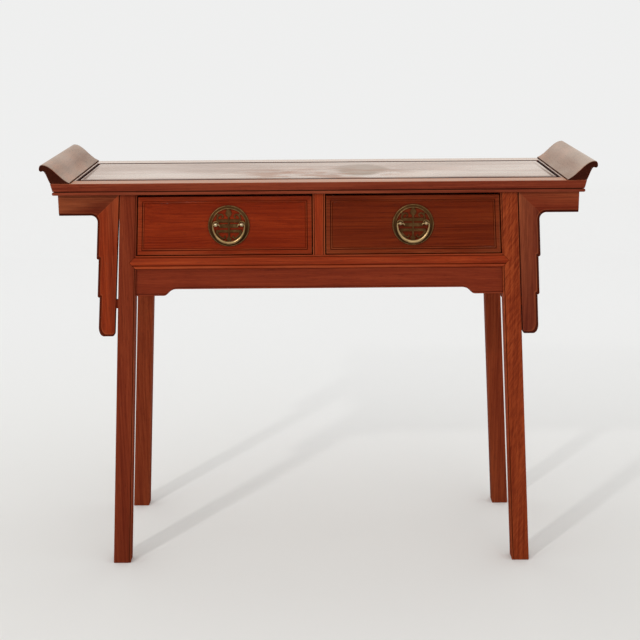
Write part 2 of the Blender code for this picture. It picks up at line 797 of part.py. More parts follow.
# Brackets
def lean(across, z, side):
    """Front position of a point of a bracket, measured out from the leg's outer face."""
    return (span(z) + lean_out(z, side) + across, z)


def fillet_centre():
    """Middle of the rounded inner corner between an arm and its drop, out from the leg and up."""
    return (DROP_WIDTH + BRACKET_FILLET, ARM_BASE - BRACKET_FILLET)


def mitre_angle(side):
    """Angle in degrees at which the mitre leaves the middle of the rounded inner corner."""
    across, up = fillet_centre()
    return math.degrees(math.atan2(UNDERSIDE - SEAT - up, drop_gap(side) - across))


def fillet_half(start, end, margin, side):
    """Half of the rounded inner corner, moved into the board by a margin."""
    return [lean(*point, side) for point in arc(fillet_centre(), BRACKET_FILLET + margin, start, end)]


def mitred(outline):
    """Outline with its last edge, the mitre, drawn back by half a seat."""
    return inset(outline, [0.0] * (len(outline) - 1) + [SEAT / 2])


def arm_outline(margin, side):
    """Outline of an arm from the foot of the mitre, its lower edge moved in by a margin."""
    head = UNDERSIDE - SEAT
    end = span(UNDERSIDE) + ARM_LENGTH
    outline = fillet_half(mitre_angle(side), 90, margin, side)
    return mitred(outline + [(end, ARM_BASE + margin), (end, head), lean(drop_gap(side), head, side)])


def drop_outline(margin, side):
    """Outline of a drop from the head of the mitre, its stepped edge and foot moved in by a margin."""
    first = UNDERSIDE - DROP_UPPER + margin
    second = first - DROP_MIDDLE
    foot = DROP_BASE + margin
    middle_width = DROP_WIDTH - margin - DROP_STEP
    low_width = middle_width - DROP_STEP
    inside = drop_gap(side) + DROP_CORNER_IN
    edge = arc((inside, foot + DROP_CORNER_IN), DROP_CORNER_IN, 180, 270)
    toe = (low_width - DROP_CORNER_OUT, foot)
    cheek = (low_width, foot + DROP_CORNER_RISE)
    edge += swung(toe, cheek, DROP_CORNER_LEAVE, DROP_CORNER_ARRIVE, ARC_STEPS)
    edge += arc((low_width, second + DROP_STEP), DROP_STEP, 270, 360)
    edge += arc((middle_width, first + DROP_STEP), DROP_STEP, 270, 360)
    outline = [lean(drop_gap(side), UNDERSIDE - SEAT, side)] + [lean(*point, side) for point in edge]
    return mitred(outline + fillet_half(180, mitre_angle(side), margin, side))


def relief(outline, side, face):
    """Board with a hollow sunk margin along the moulded edges of its outline."""
    front = reach(UNDERSIDE) - BRACKET_RECESS
    levels = [(0.0, front - BRACKET_THICKNESS), (0.0, front - BRACKET_SINK)]
    levels += [(BRACKET_MARGIN / 2, front - BRACKET_HOLLOW), (BRACKET_MARGIN, front)]
    rings = []
    for margin, level in levels:
        rings.append([(side * x, face * level, z) for x, z in outline(margin, side)])
    return skin(rings)


def build_brackets():
    """Mitred pair of arm and drop outside each leg, and the peg that holds the drop to it."""
    for face_name, face in FACES.items():
        for side_name, side in SIDES.items():
            name = f"{face_name}_{side_name}"
            piece(f"bracket_arm_{name}", relief(arm_outline, side, face), FRAME_WOOD, FRAME)
            drop = piece(f"bracket_drop_{name}", relief(drop_outline, side, face), FRAME_WOOD, FRAME)
            combine(drop, tool(f"cut_peg_drop_{name}", peg_block(side, face, SEAT)), "DIFFERENCE")
            piece(f"bracket_peg_{name}", peg_block(side, face, 0.0), FRAME_WOOD, FRAME)


# Drawers
def front_outline():
    """Outline of a right drawer front: upright by the divider, leaning with the leg."""
    near = DIVIDER_WIDTH / 2 + DRAWER_SIDE_GAP
    low = inner(DRAWER_LOW) - DRAWER_SIDE_GAP
    high = inner(DRAWER_HIGH) - DRAWER_SIDE_GAP
    return [(near, DRAWER_LOW), (low, DRAWER_LOW), (high, DRAWER_HIGH), (near, DRAWER_HIGH)]


def front_solid(side):
    """Drawer front with a bead line between two fine grooves all round its face."""
    outline = front_outline()
    rings = [upright(outline, DRAWER_FACE + depth, side) for depth in (DRAWER_FRONT, DRAWER_ARRIS)]
    in_by = DRAWER_LINE_INSET
    sections = [(DRAWER_ARRIS, 0.0), (in_by, 0.0)]
    in_by += DRAWER_LINE_GROOVE
    sections.append((in_by, DRAWER_LINE_DEPTH))
    in_by += DRAWER_LINE_GROOVE
    sections.append((in_by, DRAWER_ARRIS / 3))
    in_by += DRAWER_LINE_WIDTH
    sections.append((in_by, DRAWER_ARRIS / 3))
    in_by += DRAWER_LINE_GROOVE
    sections.append((in_by, DRAWER_LINE_DEPTH))
    in_by += DRAWER_LINE_GROOVE
    sections.append((in_by, 0.0))
    for distance, depth in sections:
        rings.append(upright(inset(outline, [distance] * len(outline)), DRAWER_FACE + depth, side))
    return skin(rings)


def wall_outline(at, facing):
    """Section of a drawer side with the groove for the bottom on its inner face."""
    low = RAIL_TOP + SEAT
    high = DRAWER_HIGH - DRAWER_WALL_DROP
    inside = at + facing * DRAWER_WALL
    floor = inside - facing * DRAWER_GROOVE_DEPTH
    groove_low = low + DRAWER_GROOVE_RISE - SEAT
    groove_high = low + DRAWER_GROOVE_RISE + DRAWER_BOTTOM + SEAT
    outline = [(at, low), (inside, low), (inside, groove_low), (floor, groove_low)]
    outline += [(floor, groove_high), (inside, groove_high), (inside, high), (at, high)]
    return outline


def build_drawer(side_name, side):
    """Drawer box, front, plate, posts and bail on one side."""
    slide = pivot(f"drawer_{side_name}", (0.0, DRAWER_FACE, 0.0), FRAME)
    front = piece(f"drawer_{side_name}_front", front_solid(side), FRONT_WOOD, slide)
    start = DRAWER_FACE + DRAWER_FRONT + SEAT
    for wall_name, at, facing in (("inner", box_near(), 1), ("outer", box_far(), -1)):
        outline = wall_outline(at, facing)
        solid = skin([upright(outline, start, side), upright(outline, DRAWER_REAR, side)])
        piece(f"drawer_{side_name}_{wall_name}_side", solid, INNER_WOOD, slide)
    floor_low = RAIL_TOP + SEAT + DRAWER_GROOVE_RISE
    floor_high = floor_low + DRAWER_BOTTOM
    reach_in = DRAWER_WALL - DRAWER_GROOVE_DEPTH + SEAT
    ends = sorted((side * (box_near() + reach_in), side * (box_far() - reach_in)))
    bottom = box((ends[0], start, floor_low), (ends[1], DRAWER_REAR, floor_high))
    piece(f"drawer_{side_name}_bottom", bottom, INNER_WOOD, slide)
    ends = sorted((side * (box_near() + DRAWER_WALL + SEAT), side * (box_far() - DRAWER_WALL - SEAT)))
    crown = DRAWER_HIGH - DRAWER_WALL_DROP - DRAWER_BACK_DROP
    back = box((ends[0], DRAWER_REAR - DRAWER_WALL, floor_high + SEAT), (ends[1], DRAWER_REAR, crown))
    ease(piece(f"drawer_{side_name}_back", back, INNER_WOOD, slide))
    corners = front_outline()
    middle = (corners[0][0] + (corners[1][0] + corners[2][0]) / 2) / 2
    shift = PULL_SHIFT_LEFT if side < 0 else 0.0
    build_pull(side_name, side * middle + shift, slide, front)


# Pulls
def turned(profile, steps):
    """Body turned about the Y axis from (radius, y) points."""
    solid = bmesh.new()
    points = [solid.verts.new((radius, y, 0.0)) for radius, y in profile]
    lines = [solid.edges.new(pair) for pair in zip(points, points[1:])]
    bmesh.ops.spin(
        solid,
        geom=points + lines,
        cent=(0.0, 0.0, 0.0),
        axis=(0.0, 1.0, 0.0),
        angle=2 * math.pi,
        steps=steps,
        use_merge=True,
    )
    bmesh.ops.remove_doubles(solid, verts=solid.verts, dist=WELD)
    return solid


def plate_solid():
    """Round plate: thin web and a rounded rim, turned about its middle."""
    web = PLATE_RADIUS - PLATE_RIM_WIDTH
    crown = PLATE_RADIUS - PLATE_RIM_WIDTH / 2
    shoulder = (PLATE_WEB + PLATE_RIM_HEIGHT) / 2
    profile = [(0.0, 0.0), (PLATE_RADIUS, 0.0), (PLATE_RADIUS, -PLATE_WEB / 2)]
    profile += bezier(
        (PLATE_RADIUS, -PLATE_WEB),
        (PLATE_RADIUS, -PLATE_RIM_HEIGHT),
        (PLATE_RADIUS, -PLATE_RIM_HEIGHT),
        (crown, -PLATE_RIM_HEIGHT),
        ARC_STEPS,
    )
    profile += [(web + PLATE_WEB, -shoulder), (web, -PLATE_WEB), (0.0, -PLATE_WEB)]
    solid = turned(profile, RIM_STEPS)
    bmesh.ops.dissolve_limit(solid, angle_limit=FLAT_ANGLE, verts=solid.verts, edges=solid.edges)
    return solid


def polar(radius, degrees):
    """Point at an angle from the top of the plate."""
    angle = math.radians(degrees)
    return (radius * math.sin(angle), radius * math.cos(angle))


def sector(low, high, start, end):
    """Ring-shaped opening between two radii and two angles from the top."""
    angles = [blend(start, end, step / ARC_STEPS) for step in range(ARC_STEPS + 1)]
    outline = [polar(high, angle) for angle in angles]
    outline += [polar(low, angle) for angle in reversed(angles)]
    return outline


def slot(end, low, high):
    """Straight opening beside the stem with a rounded end."""
    half = (high - low) / 2
    stem = PLATE_STEM / 2
    return [(stem, low)] + arc((end - half, low + half), half, -90, 90) + [(stem, high)]


def plate_openings():
    """Openings of the right half of the plate: between the bars, under them and round the scroll."""
    edge = PLATE_RADIUS - PLATE_RIM_WIDTH - PLATE_WEB / 3
    half = PLATE_BAR / 2
    stem = PLATE_STEM / 2
    upper = PLATE_BAR_RISE
    centre = upper - PLATE_BAR_PITCH
    lower = centre - PLATE_BAR_PITCH
    boss = POST_SPACING / 2 - POST_HEAD
    openings = [slot(boss - half, centre + half, upper - half), slot(boss, lower + half, centre - half)]
    bowl = edge - PLATE_BAR
    top = lower - half
    chord = math.degrees(math.acos(top / bowl))
    steps = 2 * ARC_STEPS
    arch = [polar(bowl, blend(chord, PLATE_BOWL_END, step / steps)) for step in range(steps + 1)]
    openings.append([(stem, top)] + arch + [(stem, -bowl + PLATE_BAR)])
    eye = (PLATE_STEM + PLATE_EYE, upper + half + PLATE_EYE)
    openings.append(arc(eye, PLATE_EYE, 0, PLATE_EYE_TURN, PLATE_EYE_STEPS))
    openings.append(sector(edge - PLATE_CREST_GAP, edge, PLATE_CREST_START, PLATE_CREST_END))
    openings.append(sector(edge - PLATE_SIDE_GAP, edge, PLATE_SIDE_START, PLATE_SIDE_END))
    return openings


def openings_solid(place):
    """Cutter through the plate for all openings, mirrored about the stem."""
    solid = bmesh.new()
    x, y, z = place
    for outline in plate_openings():
        for side in SIDES.values():
            places = [(x + side * across, y - PLATE_RADIUS / 2, z + up) for across, up in outline]
            face = solid.faces.new([solid.verts.new(point) for point in places])
            grown = bmesh.ops.extrude_face_region(solid, geom=[face])
            moved = [part for part in grown["geom"] if isinstance(part, bmesh.types.BMVert)]
            bmesh.ops.translate(solid, vec=(0.0, PLATE_RADIUS, 0.0), verts=moved)
    return solid


def post_solid(place):
    """Round-headed post with a stem into the drawer front."""
    neck = POST_STEM + SEAT
    tail = POST_REACH + POST_DEPTH
    opening = math.degrees(math.asin(neck / POST_HEAD))
    profile = [(0.0, tail), (POST_STEM, tail), (POST_STEM, POST_REACH - PLATE_RIM_HEIGHT)]
    profile += arc((0.0, 0.0), POST_HEAD, 90 - opening, -90, 2 * ARC_STEPS)[:-1]
    profile.append((0.0, -POST_HEAD))
    solid = turned(profile, TURN_STEPS)
    bmesh.ops.translate(solid, vec=place, verts=solid.verts)
    return solid


def bore(place, radius, length, axis):
    """Cylinder for a bore about a point."""
    solid = bmesh.new()
    turn = Matrix.Rotation(math.pi / 2, 4, axis)
    bmesh.ops.create_cone(
        solid,
        cap_ends=True,
        segments=TURN_STEPS,
        radius1=radius,
        radius2=radius,
        depth=length,
        matrix=Matrix.Translation(Vector(place)) @ turn,
    )
    return solid


def bail_path():
    """Half of the bail's line from its inner end through the eye and down, and its radii."""
    start = POST_SPACING / 2 - POST_HEAD - BAIL_END
    bend = POST_SPACING / 2 + POST_HEAD - BAIL_TUCK
    out = bend + BAIL_BEND
    points = [(start, 0.0), (POST_SPACING / 2, 0.0)]
    points += arc((bend, -BAIL_BEND), BAIL_BEND, 90, 0)
    radii = [BAIL_PIN] * len(points)
    fall = BAIL_DROP - BAIL_BEND
    for step in range(1, BAIL_STEPS + 1):
        angle = math.pi / 2 * step / BAIL_STEPS
        points.append((out * math.cos(angle), -BAIL_BEND - fall * math.sin(angle)))
        radii.append(blend(BAIL_PIN, BAIL_BELLY, math.sin(angle) ** 2))
    return points, radii


def build_bail(side_name, place, parent):
    """Crescent bail as a tapered round bar, with its origin on the hinge axis."""
    hinge = pivot(f"bail_{side_name}_hinge", place, parent)
    points, radii = bail_path()
    line = points + [(-x, z) for x, z in reversed(points[:-1])]
    girth = radii + list(reversed(radii[:-1]))
    curve = bpy.data.curves.new(f"bail_{side_name}", "CURVE")
    curve.dimensions = "3D"
    curve.bevel_depth = BAIL_PIN
    curve.bevel_resolution = BAIL_RESOLUTION
    curve.use_fill_caps = True
    spline = curve.splines.new("POLY")
    spline.points.add(len(line) - 1)
    for point, (x, z), radius in zip(spline.points, line, girth):
        point.co = (x, 0.0, z, 1.0)
        point.radius = radius / BAIL_PIN
    spline.use_smooth = True
    curve.materials.append(BRASS)
    bail = bpy.data.objects.new(f"bail_{side_name}", curve)
    bpy.context.collection.objects.link(bail)
    bail.parent = hinge


def build_pull(side_name, x, slide, front):
    """Pierced plate on a drawer front, two posts through it and the bail between them."""
    seat = (x, DRAWER_FACE - SEAT, PULL_LEVEL)
    solid = plate_solid()
    bmesh.ops.translate(solid, vec=seat, verts=solid.verts)
    plate = piece(f"pull_{side_name}_plate", solid, BRASS, slide, seat)
    combine(plate, tool(f"cut_openings_{side_name}", openings_solid(seat)), "DIFFERENCE")
    axis_y = DRAWER_FACE - POST_REACH
    axis_z = PULL_LEVEL + POST_RISE
    for post_name, hand in SIDES.items():
        place = (x + hand * POST_SPACING / 2, axis_y, axis_z)
        post = piece(f"pull_{side_name}_post_{post_name}", post_solid(place), BRASS, slide, place)
        eye = tool(f"cut_eye_{side_name}_{post_name}", bore(place, POST_EYE, 4 * POST_HEAD, "Y"))
        combine(post, eye, "DIFFERENCE")
        hole = 2 * (POST_REACH + POST_DEPTH + SEAT)
        drill = tool(f"cut_post_{side_name}_{post_name}", bore(place, POST_STEM + SEAT, hole, "X"))
        combine(plate, drill, "DIFFERENCE")
        combine(front, drill, "DIFFERENCE")
    build_bail(side_name, (x, axis_y, axis_z), slide)


def main():
    """Build every piece."""
    build_legs()
    build_top()
    build_flanges()
    build_front_rail()
    build_divider()
    build_apron()
    build_back()
    build_sides()
    build_runners()
    build_brackets()
    for side_name, side in SIDES.items():
        build_drawer(side_name, side)


main()
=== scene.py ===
"""Looks of a two-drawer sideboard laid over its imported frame: polished wood and toned brass.

Metres, +Z up, the front faces -Y, the origin lies on the floor under the middle of the top.
"""

import logging
import math
from dataclasses import dataclass, replace
from enum import Enum
from typing import Any, Callable, Sequence

import bmesh
import bpy
import numpy as np
from mathutils import Matrix


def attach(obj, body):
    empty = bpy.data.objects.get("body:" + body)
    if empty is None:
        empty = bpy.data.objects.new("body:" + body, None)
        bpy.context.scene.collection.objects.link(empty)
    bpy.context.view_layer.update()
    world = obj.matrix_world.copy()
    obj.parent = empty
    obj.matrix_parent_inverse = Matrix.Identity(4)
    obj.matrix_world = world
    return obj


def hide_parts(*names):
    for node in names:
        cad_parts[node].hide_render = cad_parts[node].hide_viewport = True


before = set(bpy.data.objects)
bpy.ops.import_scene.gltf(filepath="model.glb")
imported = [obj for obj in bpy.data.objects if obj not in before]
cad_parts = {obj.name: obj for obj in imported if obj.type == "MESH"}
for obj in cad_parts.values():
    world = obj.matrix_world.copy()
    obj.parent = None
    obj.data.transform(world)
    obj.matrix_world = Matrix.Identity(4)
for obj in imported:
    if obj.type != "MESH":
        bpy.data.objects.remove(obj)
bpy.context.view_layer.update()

log = logging.getLogger("sideboard")

Array = np.ndarray
Colour = tuple[float, float, float]
Oval = tuple[float, float, float, float]
Spot = tuple[float, float, float]
Points = Sequence[Sequence[float]]
Rows = Sequence[tuple[float, float, Any]]
Handles = tuple[tuple[float, float], tuple[float, float]]
SIDES = {"left": -1, "right": 1}
FACES = {"front": -1, "back": 1}
PULL_PLACES = {"left": -0.184628, "right": 0.193128}
CORNERS = [(f"{face}_{side}", FACES[face], SIDES[side]) for face in FACES for side in SIDES]
BLACK = (0.0, 0.0, 0.0)
EDGE = "edge"
UP = "up"
CREASE = math.radians(38)
SLIVER = 2e-6
TINY = 1e-9
BRACKET_SEED = 51


# Curves and outlines
def joined(*parts: Any) -> Array:
    """Points from their coordinates, where one number stands for all points."""
    return np.stack(np.broadcast_arrays(*parts), axis=-1)


def unit(vectors: Array) -> Array:
    """Vectors brought to length one."""
    return vectors / np.maximum(np.linalg.norm(vectors, axis=-1, keepdims=True), TINY)


def full_turn(count: int) -> Array:
    """Evenly spaced angles round a circle."""
    return np.linspace(0.0, 2 * math.pi, count, endpoint=False)


def arc(centre: Sequence[float], radius: float, start: float, end: float, steps: int = 10) -> Array:
    """Points on a circle: the centre plus the radius times (cos, sin) of evenly spaced angles.

    Args:
        centre: Middle of the circle in its plane.
        radius: Radius in metres.
        start: First angle in degrees.
        end: Last angle in degrees.
        steps: Number of equal parts.

    Returns:
        Array of steps + 1 points.
    """
    angle = np.radians(np.linspace(start, end, steps + 1))
    return np.asarray(centre) + radius * joined(np.cos(angle), np.sin(angle))


def swung(
    start: Sequence[float],
    end: Sequence[float],
    leave: Sequence[float],
    arrive: Sequence[float],
    steps: int,
) -> Array:
    """Cubic curve: its ends and two handles, weighted by the Bernstein polynomials of t in 0..1.

    Args:
        start: First point.
        end: Last point.
        leave: First handle, as shares (across, up) of the box between the ends.
        arrive: Second handle, as shares of the same box.
        steps: Number of equal parts of t.

    Returns:
        Array of steps + 1 points.
    """
    t = np.linspace(0.0, 1.0, steps + 1)[:, None]
    first, last = np.asarray(start, float), np.asarray(end, float)
    one, two = (first + (last - first) * np.asarray(share) for share in (leave, arrive))
    return (1 - t) ** 3 * first + 3 * t * (1 - t) ** 2 * one + 3 * t * t * (1 - t) * two + t**3 * last


def through(points: Points, steps: int = 12) -> Array:
    """Smooth open line through points: a cubic Hermite curve with half-chord tangents on each stretch.

    Args:
        points: Points on the line.
        steps: Parts of each stretch.

    Returns:
        Array of points along the line.
    """
    place = np.asarray(points, float)
    slope = np.gradient(place, axis=0)
    t = np.linspace(0.0, 1.0, steps, endpoint=False)[None, :, None]
    first, last = place[:-1, None], place[1:, None]
    leave, arrive = slope[:-1, None], slope[1:, None]
    line = (2 * t**3 - 3 * t**2 + 1) * first + (t**3 - 2 * t**2 + t) * leave
    line = line + (3 * t**2 - 2 * t**3) * last + (t**3 - t**2) * arrive
    return np.vstack([line.reshape(-1, place.shape[1]), place[-1:]])


def rounded(table: Points, steps: int = 6) -> Array:
    """Closed outline with eased corners.

    Each corner C becomes C + r((1 - t)^2 a + t^2 b), with a and b the unit directions of its edges.

    Args:
        table: Corners in order, as (across, up, r).
        steps: Parts of each eased corner.

    Returns:
        Array of outline points.
    """
    corner, radius = np.split(np.asarray(table, float), [2], axis=1)
    before = unit(np.roll(corner, 1, axis=0) - corner)
    after = unit(np.roll(corner, -1, axis=0) - corner)
    t = np.linspace(0.0, 1.0, steps + 1)[None, :, None]
    turn = (1 - t) ** 2 * before[:, None] + t**2 * after[:, None]
    return (corner[:, None] + radius[:, :, None] * turn).reshape(-1, 2)


def spaced(outline: Array, spacing: float) -> Array:
    """Closed outline walked at even steps: its coordinates are read off along its summed edge length.

    Args:
        outline: Points of the outline.
        spacing: Wanted step in metres.

    Returns:
        Array of evenly spaced points.
    """
    closed = np.vstack([outline, outline[:1]])
    length = np.concatenate([[0.0], np.cumsum(np.linalg.norm(np.diff(closed, axis=0), axis=1))])
    count = max(int(length[-1] / spacing), 8)
    at = np.linspace(0.0, length[-1], count, endpoint=False)
    return joined(*(np.interp(at, length, axis) for axis in closed.T))


def square_to(line: Array) -> Array:
    """Unit vectors square to an open line in its plane, a quarter turn to the left of its direction."""
    along = unit(np.gradient(line, axis=0))
    return joined(-along[:, 1], along[:, 0])


def bend(outline: Array, radius: float = 0.002, widen: int = 0, deep: float = -0.2) -> Array:
    """Edge value of a closed outline: turning angle over step length, times a radius, within -1..1.

    Args:
        outline: Evenly spaced points.
        radius: Radius of an arris that counts as fully exposed.
        widen: Points on each side over which a hollow spreads, widening painted shade lines.
        deep: Value under which a hollow spreads.

    Returns:
        One value a point: positive on arrises, negative in hollows, zero on flats.
    """
    ahead = np.roll(outline, -1, axis=0)
    behind = np.roll(outline, 1, axis=0)
    come = outline - behind
    go = ahead - outline
    turn = np.arctan2(come[:, 0] * go[:, 1] - come[:, 1] * go[:, 0], (come * go).sum(axis=1))
    step = (np.linalg.norm(come, axis=1) + np.linalg.norm(go, axis=1)) / 2
    value = turn / np.maximum(step, TINY) * radius
    value = (np.roll(value, 1) + 2 * value + np.roll(value, -1)) / 4
    value = np.clip(value * np.sign(turn.sum()), -1.0, 1.0)
    near = [np.roll(np.minimum(value, 0.0), shift) for shift in range(-widen, widen + 1)]
    hollow = np.min(near, axis=0)
    return np.where(hollow < deep, hollow, value)


# Surfaces
@dataclass
class Loft:
    """Rings of equally many points, skinned with quads and closed by one face at each end.

    Attributes:
        rings: Points, shaped (rings, around, 3).
        edge: Edge value of each point, of each point around or of each ring.
        looped: True where the last ring joins the first and there are no end faces.
    """

    rings: Array
    edge: Array
    looped: bool = False

    def __post_init__(self) -> None:
        """Bring the edge values to the shape (rings, around)."""
        self.rings = np.asarray(self.rings, float)
        self.edge = np.broadcast_to(self.edge, self.rings.shape[:2])

    def eased(self, by: float, fade: float = 0.004, end: float = 0.6, rubbed: float = 0.8) -> "Loft":
        """Soften both ends of a straight run.

        The end rings step back along the run, and a ring drawn towards its middle closes each end.

        Args:
            by: Size of the softened arris.
            fade: Length over which the worn look of the end fades out.
            end: Edge value of the end faces.
            rubbed: Least edge value of the softened arris.

        Returns:
            The softened loft.
        """
        run = unit((self.rings[-1] - self.rings[0]).mean(axis=0))
        ends, values = [], []
        for at, way in ((0, 1.0), (-1, -1.0)):
            ring, edge = self.rings[at], self.edge[at]
            inward = unit(ring.mean(axis=0) - ring)
            worn = np.maximum(edge, rubbed)
            stack = [ring + inward * by, ring + way * run * by, ring + way * run * fade]
            ends.append(stack if way > 0 else stack[::-1])
            cap = np.full_like(edge, end)
            values.append([cap, worn, edge] if way > 0 else [edge, worn, cap])
        rings = np.concatenate([np.array(ends[0]), self.rings[1:-1], np.array(ends[1])])
        edge = np.concatenate([np.array(values[0]), self.edge[1:-1], np.array(values[1])])
        return Loft(rings, edge)

    def faces(self) -> list[list[int]]:
        """Quads between neighbouring rings and the end faces, turned so that they point outwards.

        Returns:
            Point numbers of each face.
        """
        rows, around = self.edge.shape
        number = np.arange(rows * around).reshape(rows, around)
        lower = number if self.looped else number[:-1]
        upper = np.roll(number, -1, axis=0) if self.looped else number[1:]
        quads = np.stack([lower, np.roll(lower, -1, 1), np.roll(upper, -1, 1), upper], axis=-1)
        quads = quads.reshape(-1, 4)
        caps = [] if self.looped else [number[0, ::-1], number[-1]]
        points = self.rings.reshape(-1, 3)
        fans = [np.stack([np.full(len(cap) - 2, cap[0]), cap[1:-1], cap[2:]], axis=1) for cap in caps]
        triangles = np.vstack([quads[:, :3], quads[:, [0, 2, 3]], *fans])
        one, two, three = (points[triangles[:, corner]] for corner in range(3))
        volume = np.einsum("ij,ij->i", one, np.cross(two, three)).sum()
        found = quads.tolist() + [cap.tolist() for cap in caps]
        return found if volume > 0 else [face[::-1] for face in found]


def slab(half: Any, front: Any, back: Any, height: Any) -> Array:
    """Rings of four corners, one for each height.

    Args:
        half: Half length at each height.
        front: Depth of the front corners.
        back: Depth of the back corners.
        height: Heights of the rings.

    Returns:
        Points, shaped (rings, 4, 3).
    """
    corners = ((-half, front), (half, front), (half, back), (-half, back))
    return np.stack([joined(x, y, height) for x, y in corners], axis=1)


def upright(outline: Array, depth: float, side: int = 1) -> Array:
    """Ring of a front outline (x, z) at one depth, mirrored for the left side."""
    return joined(side * outline[:, 0], depth, outline[:, 1])


def stacked(
    rows: Rows, outline: Callable[[float], Array], depth: float, side: int = 1, way: int = 1
) -> Loft:
    """Loft of a front outline at several insets.

    Args:
        rows: Inset, depth behind the face and edge value of each layer.
        outline: Gives the outline (x, z) at an inset.
        depth: Depth of the face.
        side: -1 mirrors the outline for the left side.
        way: 1 where the face looks to the front, -1 where it looks to the back.

    Returns:
        The loft through the layers.
    """
    rings = [upright(outline(inset), depth + way * sunk, side) for inset, sunk, value in rows]
    return Loft(rings, np.array([np.broadcast_to(value, len(rings[0])) for inset, sunk, value in rows]))


def clean(mesh: bpy.types.Mesh) -> None:
    """Collapse edges without length, so that no face is a sliver.

    Args:
        mesh: Mesh to clean.
    """
    work = bmesh.new()
    work.from_mesh(mesh)
    bmesh.ops.dissolve_degenerate(work, dist=SLIVER, edges=work.edges[:])
    work.to_mesh(mesh)
    work.free()


def make_object(name: str, lofts: Sequence[Loft]) -> bpy.types.Object:
    """Mesh object of one or more lofts, with their edge values and upward share as point attributes.

    Args:
        name: Name of the object.
        lofts: Shells of the piece.

    Returns:
        The object, linked to the scene.
    """
    points = np.vstack([loft.rings.reshape(-1, 3) for loft in lofts])
    faces: list[list[int]] = []
    start = 0
    for loft in lofts:
        faces += [[start + number for number in face] for face in loft.faces()]
        start += loft.edge.size
    mesh = bpy.data.meshes.new(name)
    mesh.from_pydata(points.tolist(), [], faces)
    values = np.concatenate([loft.edge.ravel() for loft in lofts]).astype(np.float32)
    mesh.attributes.new(EDGE, "FLOAT", "POINT").data.foreach_set("value", values)
    normals = np.zeros(3 * len(points), np.float32)
    mesh.vertex_normals.foreach_get("vector", normals)
    mesh.attributes.new(UP, "FLOAT", "POINT").data.foreach_set("value", normals[2::3].copy())
    clean(mesh)
    mesh.shade_smooth()
    mesh.set_sharp_from_angle(angle=CREASE)
    item = bpy.data.objects.new(name, mesh)
    bpy.context.scene.collection.objects.link(item)
    return item


def carve(item: bpy.types.Object, cutters: Sequence[Loft]) -> None:
    """Cut shapes out of a piece and keep the result as its mesh.

    Args:
        item: Piece to cut.
        cutters: Closed shapes to take away.
    """
    body = make_object(item.name + "_cut", cutters)
    cut = item.modifiers.new("cut", "BOOLEAN")
    cut.operation = "DIFFERENCE"
    cut.solver = "EXACT"
    cut.object = body
    bpy.context.view_layer.update()
    graph = bpy.context.evaluated_depsgraph_get()
    mesh = bpy.data.meshes.new_from_object(item.evaluated_get(graph))
    item.modifiers.clear()
    item.data = mesh
    clean(mesh)
    mesh.set_sharp_from_angle(angle=CREASE)
    bpy.data.objects.remove(body, do_unlink=True)


def add_piece(
    name: str,
    lofts: Sequence[Loft],
    material: bpy.types.Material,
    body: str,
    nodes: Sequence[str],
) -> bpy.types.Object:
    """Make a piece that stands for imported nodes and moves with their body.

    Args:
        name: Name of the piece.
        lofts: Its shells.
        material: Its finish.
        body: Body that it rides on.
        nodes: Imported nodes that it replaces.

    Returns:
        The new object.
    """
    item = make_object(name, lofts)
    item.data.materials.append(material)
    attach(item, body)
    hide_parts(*nodes)
    log.info("%s: %d faces on %s", name, len(item.data.polygons), body)
    return item


# Shaders
class Cells(Enum):
    """Noise patterns: cells a metre along, across and through the grain, and octaves."""

    WANDER = ((1.7, 5.0, 5.0), 1.0)
    FIGURE = ((1.3, 46.0, 46.0), 2.0)
    STREAK = ((5.0, 300.0, 300.0), 3.0)
    HAIR = ((11.0, 900.0, 900.0), 2.0)
    PORES = ((45.0, 1500.0, 1500.0), 1.0)
    FLAME = ((44.0, 80.0, 330.0), 3.0)
    SMUDGE = ((7.0, 9.0, 9.0), 3.0)
    CLOUD = ((2.6, 11.0, 11.0), 4.0)
    FLECKS = ((13.0, 24.0, 24.0), 3.0)
    BLOTCH = ((90.0, 90.0, 90.0), 3.0)
    SPECK = ((900.0, 900.0, 900.0), 2.0)


class Value:
    """A shader socket that takes part in Python expressions."""

    def __init__(self, sheet: "Sheet", socket: bpy.types.NodeSocket) -> None:
        """Keep the socket and the sheet that it lies on."""
        self.sheet = sheet
        self.socket = socket

    def _math(self, operation: str, first: Any, second: Any) -> "Value":
        """Math node on two values."""
        return self.sheet.node("ShaderNodeMath", {"operation": operation}, {0: first, 1: second})

    def __add__(self, other: Any) -> "Value":
        """Sum."""
        return self._math("ADD", self, other)

    __radd__ = __add__

    def __sub__(self, other: Any) -> "Value":
        """Difference."""
        return self._math("SUBTRACT", self, other)

    def __rsub__(self, other: Any) -> "Value":
        """Difference with the value second."""
        return self._math("SUBTRACT", other, self)

    def __mul__(self, other: Any) -> "Value":
        """Product."""
        return self._math("MULTIPLY", self, other)

    def most(self, other: Any) -> "Value":
        """Larger of two values."""
        return self._math("MAXIMUM", self, other)

    def step(self, low: float, high: float) -> "Value":
        """Smooth step from 0 at low to 1 at high."""
        limits = {"Value": self, "From Min": low, "From Max": high}
        return self.sheet.node("ShaderNodeMapRange", {"interpolation_type": "SMOOTHSTEP"}, limits)


